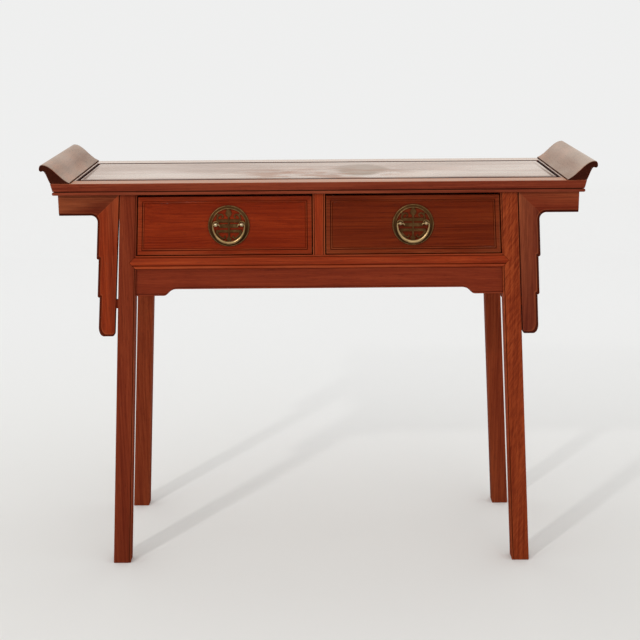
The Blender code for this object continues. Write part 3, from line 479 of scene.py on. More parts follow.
class Sheet:
    """Node tree of a material or of the surroundings."""

    def __init__(self, owner: bpy.types.Material | bpy.types.World) -> None:
        """Start an empty tree."""
        owner.use_nodes = True
        self.owner = owner
        self.tree = owner.node_tree
        self.tree.nodes.clear()

    def node(
        self,
        kind: str,
        settings: dict[str, Any] | None = None,
        inputs: dict[Any, Any] | None = None,
        output: Any = 0,
    ) -> Value | None:
        """Add a node of any type.

        Args:
            kind: Blender's name of the node type.
            settings: Properties, set first; "stops" fills a ramp with (place, colour) pairs.
            inputs: Values or links of its sockets, by name or number.
            output: Name or number of the wanted output.

        Returns:
            The output as a value, or nothing for a node without outputs.
        """
        made = self.tree.nodes.new(kind)
        for key, setting in (settings or {}).items():
            if key == "stops":
                ramp = made.color_ramp.elements
                while len(ramp) < len(setting):
                    ramp.new(0.5)
                for element, (place, colour) in zip(ramp, setting):
                    element.position = place
                    element.color = (*colour, 1.0)
            else:
                setattr(made, key, setting)
        for key, value in (inputs or {}).items():
            if isinstance(value, Value):
                self.tree.links.new(value.socket, made.inputs[key])
            else:
                made.inputs[key].default_value = value
        return Value(self, made.outputs[output]) if len(made.outputs) else None

    def noise(self, place: Value, cells: Cells) -> Value:
        """Noise on coordinates multiplied by a number of cells.

        Args:
            place: Coordinates.
            cells: Pattern of the noise.

        Returns:
            Values about 0.5.
        """
        stretch, octaves = cells.value
        scaled = self.node("ShaderNodeVectorMath", {"operation": "MULTIPLY"}, {0: place, 1: stretch})
        return self.node("ShaderNodeTexNoise", {}, {"Vector": scaled, "Scale": 1.0, "Detail": octaves})

    def mix(self, first: Any, second: Any, share: Any) -> Value:
        """Colour between two colours.

        Args:
            first: Colour at share 0.
            second: Colour at share 1.
            share: Value or number.

        Returns:
            The mixed colour.
        """
        pair = [colour if isinstance(colour, Value) else (*colour, 1.0) for colour in (first, second)]
        return self.node("ShaderNodeMix", {"data_type": "RGBA"}, {0: share, 6: pair[0], 7: pair[1]}, 2)

    def place(self, axis: str) -> Value:
        """Object coordinate along one axis."""
        spot = self.node("ShaderNodeTexCoord", {}, {}, "Object")
        return self.node("ShaderNodeSeparateXYZ", {}, {0: spot}, axis)

    def reading(self, attribute: str) -> Value:
        """Value of a point attribute."""
        return self.node("ShaderNodeAttribute", {"attribute_name": attribute}, {}, "Fac")

    def ray(self, kind: str) -> Value:
        """One for rays of a kind, zero for others."""
        return self.node("ShaderNodeLightPath", {}, {}, f"Is {kind} Ray")

    def bumped(self, height: Value, strength: float, distance: float) -> Value:
        """Normal of a surface with small relief.

        Args:
            height: Relief from 0 to 1.
            strength: Strength of the effect.
            distance: Depth of the relief in metres.

        Returns:
            The normal.
        """
        relief = {"Height": height, "Strength": strength, "Distance": distance}
        return self.node("ShaderNodeBump", {}, relief)

    def close(self, inputs: dict[str, Any]) -> bpy.types.Material:
        """Principled surface and output.

        Args:
            inputs: Sockets of the surface.

        Returns:
            The finished material.
        """
        surface = self.node("ShaderNodeBsdfPrincipled", {}, inputs)
        self.node("ShaderNodeOutputMaterial", {}, {"Surface": surface})
        return self.owner


class Grain(Enum):
    """Direction of the grain, as the turn that brings it to X."""

    ALONG_X = (0.0, 0.0, 0.0)
    ALONG_Y = (0.0, 0.0, -math.pi / 2)
    ALONG_Z = (0.0, math.pi / 2, 0.0)


def srgb(red: int, green: int, blue: int) -> Colour:
    """Linear colour of an 8-bit display colour, by the display's transfer curve."""
    shown = np.array([red, green, blue]) / 255
    return tuple(np.where(shown <= 0.04045, shown / 12.92, ((shown + 0.055) / 1.055) ** 2.4).tolist())


@dataclass(frozen=True)
class WoodFinish:
    """Polished wood with figure, streaks and pores, darker in the hollows and lighter on the arrises: wax
    and wear, and painted shade and painted highlights.

    Attributes:
        name: Name of the finish.
        middle: Mean colour.
        contrast: How far dark and light grain leave the mean colour.
        pore: Colour of pores, and of wax and painted shade in the hollows.
        rubbed: Colour of worn arrises, which also carries their painted highlights.
        roughness: Mean roughness of the polish.
        specular: Reflection of the wood itself.
        coat: Share of the surface that a film of polish covers.
        coat_roughness: Roughness of that film.
        figure: Strength of the broad bands.
        streaks: Strength of the fine bands.
        sway: How far the grain leaves a straight line, in metres.
        sway_depth: Share of that sway in the board's depth.
        ripple: Strength of bands that cross the grain aslant.
        ripple_turn: Turn of those bands.
        wear_and_highlight: Strength of the worn arrises and their painted highlights.
        faded_and_sheen: Colour of upward faces, bleached by light and lightened further as a painted
            sheen; only they carry the film then.
        facing_up: Upward share of a face where the paler colour starts and where it is full.
        patches: Strength of cloudy patches in the film.
        floor_darkening: How much darker the wood turns towards the floor.
        stain: Middle (x, y) and half sizes of an old mark on the surface.
        marked: Colour of that mark.
        worn: Middle (x, y) and half sizes of a place where the polish is thin.
    """

    name: str
    middle: Colour
    contrast: float = 0.38
    pore: Colour = srgb(48, 17, 10)
    rubbed: Colour = srgb(176, 96, 58)
    roughness: float = 0.46
    specular: float = 0.0
    coat: float = 0.16
    coat_roughness: float = 0.16
    figure: float = 0.9
    streaks: float = 0.9
    sway: float = 0.030
    sway_depth: float = 0.73
    ripple: float = 0.0
    ripple_turn: Spot = (0.0, 1.10, 0.0)
    wear_and_highlight: float = 0.50
    faded_and_sheen: Colour | None = None
    facing_up: tuple[float, float] = (0.80, 0.98)
    patches: float = 0.0
    floor_darkening: float = 0.0
    stain: Oval | None = None
    marked: Colour = srgb(124, 106, 78)
    worn: Oval | None = None

    def shade(self, share: float) -> Colour:
        """Mean colour taken lighter or darker; light grain is a little more yellow."""
        tint = np.array([1.0, 1.0 + 0.18 * share, 1.0 + 0.10 * share])
        return tuple((np.array(self.middle) * (1.0 + self.contrast * share) * tint).tolist())

    def material(self, grain: Grain, seed: int) -> bpy.types.Material:
        """Material of one board.

        Args:
            grain: Direction of its grain.
            seed: Number that picks the part of the tree it was cut from.

        Returns:
            The material.
        """
        sheet = Sheet(bpy.data.materials.new(f"{self.name}_{grain.name.lower()}_{seed}"))
        place = sheet.node("ShaderNodeTexCoord", {}, {}, "Object")
        cut = tuple(np.random.default_rng(seed).uniform(1.0, 9.0, 3))
        board = {"Vector": place, "Rotation": grain.value, "Location": cut}
        turned = sheet.node("ShaderNodeMapping", {}, board)
        wander = sheet.noise(turned, Cells.WANDER) - 0.5
        slips = {1: wander * self.sway, 2: wander * (self.sway * self.sway_depth)}
        drift = sheet.node("ShaderNodeCombineXYZ", {}, slips)
        along = sheet.node("ShaderNodeVectorMath", {"operation": "ADD"}, {0: turned, 1: drift})
        figure = sheet.noise(along, Cells.FIGURE)
        streak = sheet.noise(along, Cells.STREAK)
        hair = sheet.noise(along, Cells.HAIR)
        pores = sheet.noise(along, Cells.PORES).step(0.60, 0.72)
        tone = 0.5 + (figure - 0.5) * self.figure + (streak - 0.5) * self.streaks + (hair - 0.5) * 0.45
        if self.ripple:
            aslant = sheet.node("ShaderNodeMapping", {}, {"Vector": place, "Rotation": self.ripple_turn})
            flame = sheet.noise(aslant, Cells.FLAME) - 0.5
            tone = tone + flame * (sheet.place("Z").step(0.25, 0.75) * 0.55 + 0.55) * self.ripple
        stops = [(0.18, self.shade(-1.0)), (0.50, self.middle), (0.82, self.shade(1.0))]
        colour = sheet.node("ShaderNodeValToRGB", {"stops": stops}, {"Fac": tone})
        smudge = sheet.noise(turned, Cells.SMUDGE)
        cloud = sheet.noise(turned, Cells.CLOUD).step(0.30, 0.70) - 0.5
        facing_up = sheet.reading(UP).step(*self.facing_up)
        # Upward faces turn paler: bleaching, and a painted sheen of the pale surroundings seen at a low
        # angle.
        if self.faded_and_sheen:
            bleach_and_sheen = facing_up * (0.45 + smudge * 0.45 + tone * 0.25 + cloud * self.patches * 0.4)
            colour = sheet.mix(colour, self.faded_and_sheen, bleach_and_sheen)
            blush = (smudge * 0.7 + figure * 0.3).step(0.48, 0.66) * facing_up * self.patches
            colour = sheet.mix(colour, self.rubbed, blush * 0.6)
        colour = sheet.mix(colour, self.pore, pores * 0.45)
        # Positive edge values paint the arrises lighter, wear and painted highlight; negative values paint
        # the hollows towards the pore colour, wax and painted shade.
        edge = sheet.reading(EDGE)
        rub_and_highlight = edge.most(0.0) * (smudge * 0.7 + hair * 0.6).step(0.40, 0.85)
        wax_and_shade = (0.0 - edge).most(0.0)
        colour = sheet.mix(colour, self.rubbed, rub_and_highlight * self.wear_and_highlight)
        colour = sheet.mix(colour, self.pore, wax_and_shade * 0.85)
        # Darker towards the floor.
        if self.floor_darkening:
            colour = sheet.mix(colour, self.pore, (1.0 - sheet.place("Z").step(0.0, 0.45)) * self.floor_darkening)
        film = (1.0 + (smudge - 0.5) * 0.5 + cloud * self.patches) * (1.0 - wax_and_shade * 0.95) * self.coat
        if self.faded_and_sheen:
            film = film * facing_up
        if self.stain:
            mark = self.mark(sheet, place, smudge, self.stain, 0.70) * (cloud * 0.7 + 0.75)
            colour = sheet.mix(colour, self.marked, mark * 0.70)
            film = film * (1.0 - mark * 0.66)
        if self.worn:
            flecks = sheet.noise(along, Cells.FLECKS).step(0.42, 0.60)
            thin = self.mark(sheet, place, smudge, self.worn, 0.30) * flecks
            colour = sheet.mix(colour, self.rubbed, thin * 0.30)
            film = film * (1.0 - thin * 0.70)
        rough = self.roughness + (smudge - 0.5) * 0.16 + (streak - 0.5) * 0.10 + pores * 0.10 + wax_and_shade * 0.60
        relief = hair * 0.35 + streak * 0.30 - pores * 0.55
        return sheet.close(
            {
                "Base Color": colour,
                "Roughness": rough - rub_and_highlight * 0.06,
                "Normal": sheet.bumped(relief, 0.20, 0.0004),
                "Coat Weight": film,
                "Coat Roughness": self.coat_roughness,
                "Specular IOR Level": self.specular,
            }
        )

    def mark(self, sheet: Sheet, place: Value, smudge: Value, oval: Oval, rim: float) -> Value:
        """Oval mark: one inside, fading over a wavering rim.

        Args:
            sheet: Tree of the material.
            place: Object coordinates.
            smudge: Noise that makes the rim waver.
            oval: Middle (x, y) and half sizes.
            rim: Share of the half sizes at which it starts to fade.

        Returns:
            Strength of the mark.
        """
        x, y, half_x, half_y = oval
        scale, shift = (1 / half_x, 1 / half_y, 0.0), (-x / half_x, -y / half_y, 0.0)
        inside = sheet.node("ShaderNodeMapping", {}, {"Vector": place, "Scale": scale, "Location": shift})
        far = sheet.node("ShaderNodeVectorMath", {"operation": "LENGTH"}, {0: inside}, "Value")
        return 1.0 - (far + (smudge - 0.5) * 0.9).step(rim, 1.0)


@dataclass(frozen=True)
class BrassFinish:
    """Toned brass: dull in the hollows, rubbed bright on what hands touch.

    Attributes:
        name: Name of the finish.
        toned: Colour of the dull metal.
        bright: Colour of the rubbed metal.
        rubbed: How far the whole surface is rubbed.
        hollow: Lightness of the hollows, as a share of the dull metal's.
        metallic: Share of the surface that is bare metal.
    """

    name: str
    toned: Colour
    bright: Colour
    rubbed: float
    hollow: float = 0.35
    metallic: float = 0.85

    def material(self) -> bpy.types.Material:
        """Material of the brass.

        Returns:
            The material, made once.
        """
        if self.name in bpy.data.materials:
            return bpy.data.materials[self.name]
        sheet = Sheet(bpy.data.materials.new(self.name))
        place = sheet.node("ShaderNodeTexCoord", {}, {}, "Object")
        blotch, speck = sheet.noise(place, Cells.BLOTCH), sheet.noise(place, Cells.SPECK)
        edge = sheet.reading(EDGE)
        # Positive edge values brighten the brass: wear, and on the bail a painted highlight.
        shine = (blotch * 0.6 + speck * 0.30 + edge * 0.42 + (self.rubbed - 0.50)).step(0.25, 0.85)
        hollow = tuple(self.hollow * part for part in self.toned)
        colour = sheet.mix(self.toned, self.bright, shine)
        # Negative edge values darken towards the hollow colour: patina in hollows, and on the pulls' rims
        # the painted shadow of the bail.
        colour = sheet.mix(colour, hollow, (0.0 - edge).most(0.0) * 0.8)
        return sheet.close(
            {
                "Base Color": colour,
                "Metallic": self.metallic,
                "Roughness": 0.50 - shine * 0.20 + (speck - 0.5) * 0.18,
                "Normal": sheet.bumped(blotch * 0.4 + speck * 0.6, 0.18, 0.0003),
            }
        )


FRAME_WOOD = WoodFinish("frame_wood", srgb(138, 49, 21))
APRON_WOOD = replace(FRAME_WOOD, name="apron_wood", middle=srgb(121, 46, 25), figure=0.5, streaks=0.6)
LEG_WOOD = replace(
    FRAME_WOOD, name="leg_wood", middle=srgb(117, 47, 27), coat=0.06, figure=0.6, wear_and_highlight=0.20, floor_darkening=0.14
)
BACK_LEG_WOOD = replace(LEG_WOOD, name="back_leg_wood", middle=srgb(125, 53, 30))
RIPPLED_WOOD = replace(LEG_WOOD, name="rippled_wood", middle=srgb(133, 54, 27), ripple=1.2)
# Both arm woods are darker than the frame wood, partly a painted shade under the top's overhang.
ARM_WOOD = replace(FRAME_WOOD, name="arm_wood", middle=srgb(96, 35, 18))
LIGHT_ARM_WOOD = replace(FRAME_WOOD, name="light_arm_wood", middle=srgb(109, 39, 21))
DROP_WOOD = replace(FRAME_WOOD, name="drop_wood", middle=srgb(130, 45, 19))
# Darker copy of the drop wood for the right drops: a painted shade.
SHADED_DROP_WOOD = replace(FRAME_WOOD, name="shaded_drop_wood", middle=srgb(112, 48, 30))
TOP_WOOD = WoodFinish(
    name="top_wood",
    middle=srgb(117, 49, 32),
    rubbed=srgb(190, 120, 84),
    roughness=0.32,
    coat=0.60,
    wear_and_highlight=0.12,
    faded_and_sheen=srgb(196, 133, 94),
    facing_up=(0.90, 0.99),
    patches=0.3,
)
PALE_TOP_WOOD = replace(TOP_WOOD, name="pale_top_wood", specular=0.5, coat=0.9, faded_and_sheen=srgb(186, 140, 108))
# Its darker pore colour deepens the painted shade on the flange ends.
FLANGE_WOOD = replace(
    TOP_WOOD,
    name="flange_wood",
    pore=srgb(34, 16, 11),
    faded_and_sheen=srgb(162, 133, 109),
    facing_up=(0.40, 0.80),
    coat=0.72,
    patches=0.7,
)
PANEL_WOOD = replace(
    TOP_WOOD,
    name="panel_wood",
    specular=0.12,
    coat=1.0,
    faded_and_sheen=srgb(158, 114, 84),
    patches=0.6,
    stain=(0.091, 0.0, 0.062, 0.100),
    worn=(0.0, -0.060, 0.29, 0.140),
)
LEFT_DRAWER_WOOD = WoodFinish("left_drawer_wood", srgb(122, 37, 12), figure=0.6, sway=0.09)
RIGHT_DRAWER_WOOD = WoodFinish("right_drawer_wood", srgb(103, 35, 12), figure=0.6)
INNER_WOOD = WoodFinish(
    name="inner_wood",
    middle=srgb(168, 126, 88),
    contrast=0.25,
    pore=srgb(104, 72, 48),
    rubbed=srgb(186, 148, 110),
    roughness=0.62,
    coat=0.0,
)
PLATE_BRASS = BrassFinish("plate_brass", srgb(107, 71, 36), srgb(194, 154, 100), 0.34)
BAIL_BRASS = BrassFinish("bail_brass", srgb(100, 72, 38), srgb(224, 186, 128), 0.40)
BRIGHT_BAIL_BRASS = BrassFinish("bright_bail_brass", srgb(132, 99, 56), srgb(238, 202, 144), 0.48)
# The posts' bright colour is near white, partly a painted highlight; the right pull's copy is dimmer.
POST_BRASS = BrassFinish("post_brass", srgb(112, 84, 46), srgb(255, 234, 190), 0.48)
DULL_POST_BRASS = BrassFinish("dull_post_brass", srgb(104, 76, 42), srgb(236, 204, 156), 0.40)


# Sub-assemblies
@dataclass(frozen=True)
class Carcass:
    """Sizes that the sub-assemblies share, and how the legs spread with height."""

    half_length: float = 0.544
    half_depth: float = 0.1905
    top: float = 0.830
    under: float = 0.8055
    leg_inset: float = 0.1384
    leg_setback: float = 0.012
    spread: float = 0.0464
    fore_spread: float = 0.0063
    width_top: float = 0.0355
    width_foot: float = 0.0371
    depth_top: float = 0.0330
    depth_foot: float = 0.0345
    rail_top: float = 0.678
    rail_base: float = 0.650
    shoulder: float = 0.007
    divider_width: float = 0.025
    seat: float = 0.0003

    def span(self, z: Any) -> Any:
        """Half distance between the outer faces of the legs at a height."""
        return self.half_length - self.leg_inset + self.spread * (self.under - z) / self.under

    def reach(self, z: Any) -> Any:
        """Half distance between the front and back faces of the legs at a height."""
        return self.half_depth - self.leg_setback + self.fore_spread * (self.under - z) / self.under

    def width(self, z: Any) -> Any:
        """Width of a leg at a height."""
        return self.width_foot + (self.width_top - self.width_foot) * z / self.under

    def depth(self, z: Any) -> Any:
        """Depth of a leg at a height."""
        return self.depth_foot + (self.depth_top - self.depth_foot) * z / self.under

    def inner(self, z: Any) -> Any:
        """Half distance between the facing sides of the left and right legs at a height."""
        return self.span(z) - self.width(z)

    @property
    def rail_middle(self) -> float:
        """Height of the middle of the front rail."""
        return (self.rail_top + self.rail_base) / 2

    @property
    def rail_face(self) -> float:
        """Depth of the face of the front rail."""
        return -self.reach(self.rail_middle)


@dataclass
class TopFrame:
    """Mitred frame of the top with its sloped and beaded edge, and the floating panel."""

    body: Carcass
    rail_width: float = 0.046
    fascia: float = 0.0165
    slant: float = 0.0035
    groove: float = 0.0018
    groove_height: float = 0.0012
    tongue_length: float = 0.008
    tongue_thickness: float = 0.004
    tongue_depth: float = 0.0045
    panel_thickness: float = 0.012
    reveal: float = 0.0050
    roll_ends: float = 0.0014
    roll_sides: float = 0.0080
    fall: float = 0.0040
    shade: float = 0.0016
    dulled: float = 0.011
    front_line: float = 0.006
    front_shade: float = -0.8
    joint_wax_and_shade: float = -0.9
    arris: float = 0.0012
    arris_wear_and_highlight: float = 3.0
    ease: float = 0.0003
    spacing: float = 0.0004
    seed: int = 11

    def section(self) -> Array:
        """Section of a rail as (distance in from the upper arris, height) points.

        Returns:
            Evenly spaced outline.
        """
        top, under = self.body.top, self.body.under
        foot = top - self.fascia
        deep = self.slant + self.groove
        low = foot - self.groove_height
        nose = self.slant - self.groove_height
        high_slot = top - self.tongue_depth + self.body.seat
        low_slot = high_slot - self.tongue_thickness - 2 * self.body.seat
        back = self.rail_width - self.tongue_length - self.body.seat
        bead = (low - under) / 2
        table = [
            (0.0, top, self.arris),
            (self.slant, foot, self.ease),
            (deep, foot, self.ease),
            (deep, low, self.ease),
            (nose, low, bead),
            (nose, under, bead),
            (self.rail_width, under, self.ease),
            (self.rail_width, low_slot, self.ease),
            (back, low_slot, self.ease),
            (back, high_slot, self.ease),
            (self.rail_width, high_slot, self.ease),
            (self.rail_width, top, self.arris),
        ]
        return spaced(rounded(table), self.spacing)

    def build(self) -> None:
        """Make the four rails and the panel."""
        section = self.section()
        inward, height = section.T
        # Painted shade: the groove lines and the rails' upper faces beside the panel joint darken, on top
        # of wax there. The upper outer arris is painted light, wear and painted highlight.
        edge = bend(section, widen=4)
        at_joint = (inward > self.rail_width - self.shade) & (height > self.body.top - self.reveal)
        at_arris = (inward < self.arris) & (height > self.body.top - self.arris)
        edge = np.where(at_joint, self.joint_wax_and_shade, np.where(at_arris, self.arris_wear_and_highlight, edge))
        long_half = self.body.half_length - inward
        short_half = self.body.half_depth - inward
        for seed, (name, face) in enumerate(FACES.items(), self.seed):
            ends = [side * (long_half - self.body.seat) for side in SIDES.values()]
            rings = [joined(x, face * short_half, height) for x in ends]
            loft = Loft(rings, edge).eased(self.ease)
            wood = (TOP_WOOD if face < 0 else PALE_TOP_WOOD).material(Grain.ALONG_X, seed)
            node = f"top_rail_{name}"
            add_piece(f"top_long_rail_{name}", [loft], wood, "frame", [node])
        for seed, (name, side) in enumerate(SIDES.items(), self.seed + len(FACES)):
            ends = [face * (short_half - self.body.seat) for face in FACES.values()]
            rings = [joined(side * long_half, y, height) for y in ends]
            loft = Loft(rings, edge).eased(self.ease)
            wood = PALE_TOP_WOOD.material(Grain.ALONG_Y, seed)
            node = f"top_end_{name}"
            add_piece(f"top_short_rail_{name}", [loft], wood, "frame", [node])
        wood = PANEL_WOOD.material(Grain.ALONG_X, self.seed + len(FACES) + len(SIDES))
        add_piece("top_field", [self.panel()], wood, "frame", ["top_panel"])

    def panel(self) -> Loft:
        """Panel as a stack of rectangles: a tongue all round under a field that is rounded over.

        The edge falls as 1 - sin(angle) while it goes out as cos(angle), further along the sides than at
        the ends.

        Returns:
            The loft of the panel.
        """
        half_x = self.body.half_length - self.rail_width - self.reveal
        half_y = self.body.half_depth - self.rail_width - self.reveal
        high = self.body.top - self.tongue_depth
        low = high - self.tongue_thickness
        tongue = self.reveal + self.tongue_length - self.body.seat
        turn = np.linspace(0.0, math.pi / 2, 13)
        # Painted shade: the rounded edge, a band along the front and the hidden tongue turn dark, for the
        # shade in the groove round the panel.
        wax_and_shade = -np.minimum(3 * np.cos(turn), 1.0)
        levels = [
            (self.body.top - self.panel_thickness, 0.0, 0.0, 0.0),
            (low, 0.0, 0.0, 0.0),
            (low, tongue, 0.0, 0.0),
            (high, tongue, 0.0, -1.0),
            (high, 0.0, 0.0, -1.0),
            *zip(self.body.top - self.fall * (1 - np.sin(turn)), 0 * turn, 1 - np.cos(turn), wax_and_shade),
            (self.body.top, -self.front_line, 1.0, (self.front_shade, self.front_shade, 0.0, 0.0)),
            (self.body.top, -self.dulled, 1.0, 0.0),
        ]
        z, out, back, values = zip(*levels)
        x = half_x + np.array(out) - self.roll_ends * np.array(back)
        y = half_y + np.array(out) - self.roll_sides * np.array(back)
        return Loft(slab(x, -y, y, z), np.array([np.broadcast_to(value, 4) for value in values]))


@dataclass
class Flanges:
    """Upturned ends of the top: a swept inner face, a rolled crest and a hooked lip."""

    body: Carcass
    seat_width: float = 0.040
    reach: float = 0.021
    rise: float = 0.0385
    crest: float = 0.006
    lip: float = 0.0092
    lip_step: float = 0.0040
    lip_round: float = 0.0028
    hook: float = 0.0010
    undercut: float = 0.0070
    toe: float = 0.0012
    curves: tuple[tuple[Any, ...], ...] = (
        ((0.40, 0.25), (0.64, 1.0), 48),
        ((0.60, 0.0), (1.0, 0.40), 20),
        ((0.0, 0.55), (0.45, 1.0), 10),
        ((0.40, 0.0), (0.70, 0.95), 8),
        ((0.40, 0.02), (0.60, 0.58), 32),
    )
    arris: float = 0.004
    root_shade: float = -0.9
    end_fade: float = 0.006
    end_shade: float = -1.0
    ease: float = 0.0012
    spacing: float = 0.0005
    seed: int = 21

    def section(self) -> Array:
        """Section of the right flange: sweep, crest, lip, hook and hollow, each a cubic curve.

        Curves hold the two handles of each stretch and its number of parts.

        Returns:
            Evenly spaced (x, z) outline.
        """
        base = self.body.top + self.body.seat
        peak = base + self.rise
        root = self.body.half_length - self.seat_width
        tip = self.body.half_length + self.reach
        brow = tip - self.crest
        lip = peak - self.lip
        fall = lip - self.lip_step
        neck = tip - self.undercut
        toe = base + self.toe
        heel = self.body.half_length - self.body.seat
        notch = fall + self.hook
        knots = [
            (root, toe),
            (brow, peak),
            (tip, lip),
            (tip - self.lip_round, fall),
            (neck, notch),
            (heel, base),
        ]
        parts = [swung(*ends, *curve)[1:] for *ends, curve in zip(knots, knots[1:], self.curves)]
        return spaced(np.vstack([[(root, base), (root, toe)], *parts]), self.spacing)

    def build(self) -> None:
        """Make both flanges, each a section carried from front to back."""
        section = self.section()
        half = self.body.half_depth
        edge = bend(section, self.arris)
        root = self.body.half_length - self.seat_width
        # Painted shade: the foot of the flange where it meets the top, and its end faces, are darkened.
        edge[section[:, 0] < root + self.ease] = self.root_shade
        for seed, (name, side) in enumerate(SIDES.items(), self.seed):
            rings = [upright(section, y, side) for y in (-half, half)]
            loft = Loft(rings, edge).eased(self.ease, self.end_fade, self.end_shade)
            wood = FLANGE_WOOD.material(Grain.ALONG_Y, seed)
            add_piece(f"everted_end_{name}", [loft], wood, "frame", [f"flange_{name}"])


@dataclass
class Legs:
    """Four splayed legs with a bead along the inner arris of the outward face."""

    body: Carcass
    bead: float = 0.0028
    quirk: float = 0.0014
    slope: float = 0.0011
    arris: float = 0.0024
    fine: float = 0.0004
    foot_ease: float = 0.0010
    spacing: float = 0.00035
    seed: int = 31

    def section(self) -> Array:
        """Section of a leg in shares of its width and depth, from the inner front corner.

        Returns:
            Evenly spaced outline within 0..1.
        """
        width, depth = self.body.width_top, self.body.depth_top
        table = [
            (0.0, 0.0, self.bead / 2),
            (self.bead, 0.0, self.bead / 2),
            (self.bead, self.quirk, self.fine / 2),
            (self.bead + self.slope, 0.0, self.fine),
            (width, 0.0, self.arris),
            (width, depth, self.arris),
            (0.0, depth, self.arris),
        ]
        return spaced(rounded(table), self.spacing) / (width, depth)

    def housing(self, side: int) -> Loft:
        """Pointed recess that takes the shoulder of the front rail.

        Args:
            side: -1 for the left leg, 1 for the right.

        Returns:
            The shape to cut away.
        """
        body = self.body
        high, low = body.rail_top + body.seat, body.rail_base - body.seat
        point = body.inner(body.rail_middle) + (body.rail_top - body.rail_base) / 2 + 2 * body.seat
        mouth = point - (high - low)
        outline = np.array(
            [
                (mouth, low),
                (body.inner(low), low),
                (point, body.rail_middle),
                (body.inner(high), high),
                (mouth, high),
            ]
        )
        depths = (body.rail_face - body.depth_top, body.rail_face + body.shoulder + body.seat)
        return Loft([upright(outline, depth, side) for depth in depths], 0.0)

    def build(self) -> None:
        """Make the legs: one section carried straight from the foot to the top, tapering as it rises."""
        section = self.section()
        # Widened hollows paint the quirk beside the bead dark, a painted shade line.
        edge = bend(section * (self.body.width_top, self.body.depth_top), widen=3)
        levels = (0.0, self.body.rail_base, self.body.under - self.body.seat)
        for seed, (name, face, side) in enumerate(CORNERS, self.seed):
            rings = []
            for z in levels:
                x = self.body.inner(z) + section[:, 0] * self.body.width(z)
                y = self.body.reach(z) - section[:, 1] * self.body.depth(z)
                rings.append(joined(side * x, face * y, z))
            loft = Loft(rings, edge).eased(self.foot_ease)
            finish = BACK_LEG_WOOD if face > 0 else RIPPLED_WOOD if side > 0 else LEG_WOOD
            wood = finish.material(Grain.ALONG_Z, seed)
            leg = add_piece(f"splayed_leg_{name}", [loft], wood, "frame", [f"leg_{name}"])
            if face < 0:
                carve(leg, [self.housing(side)])


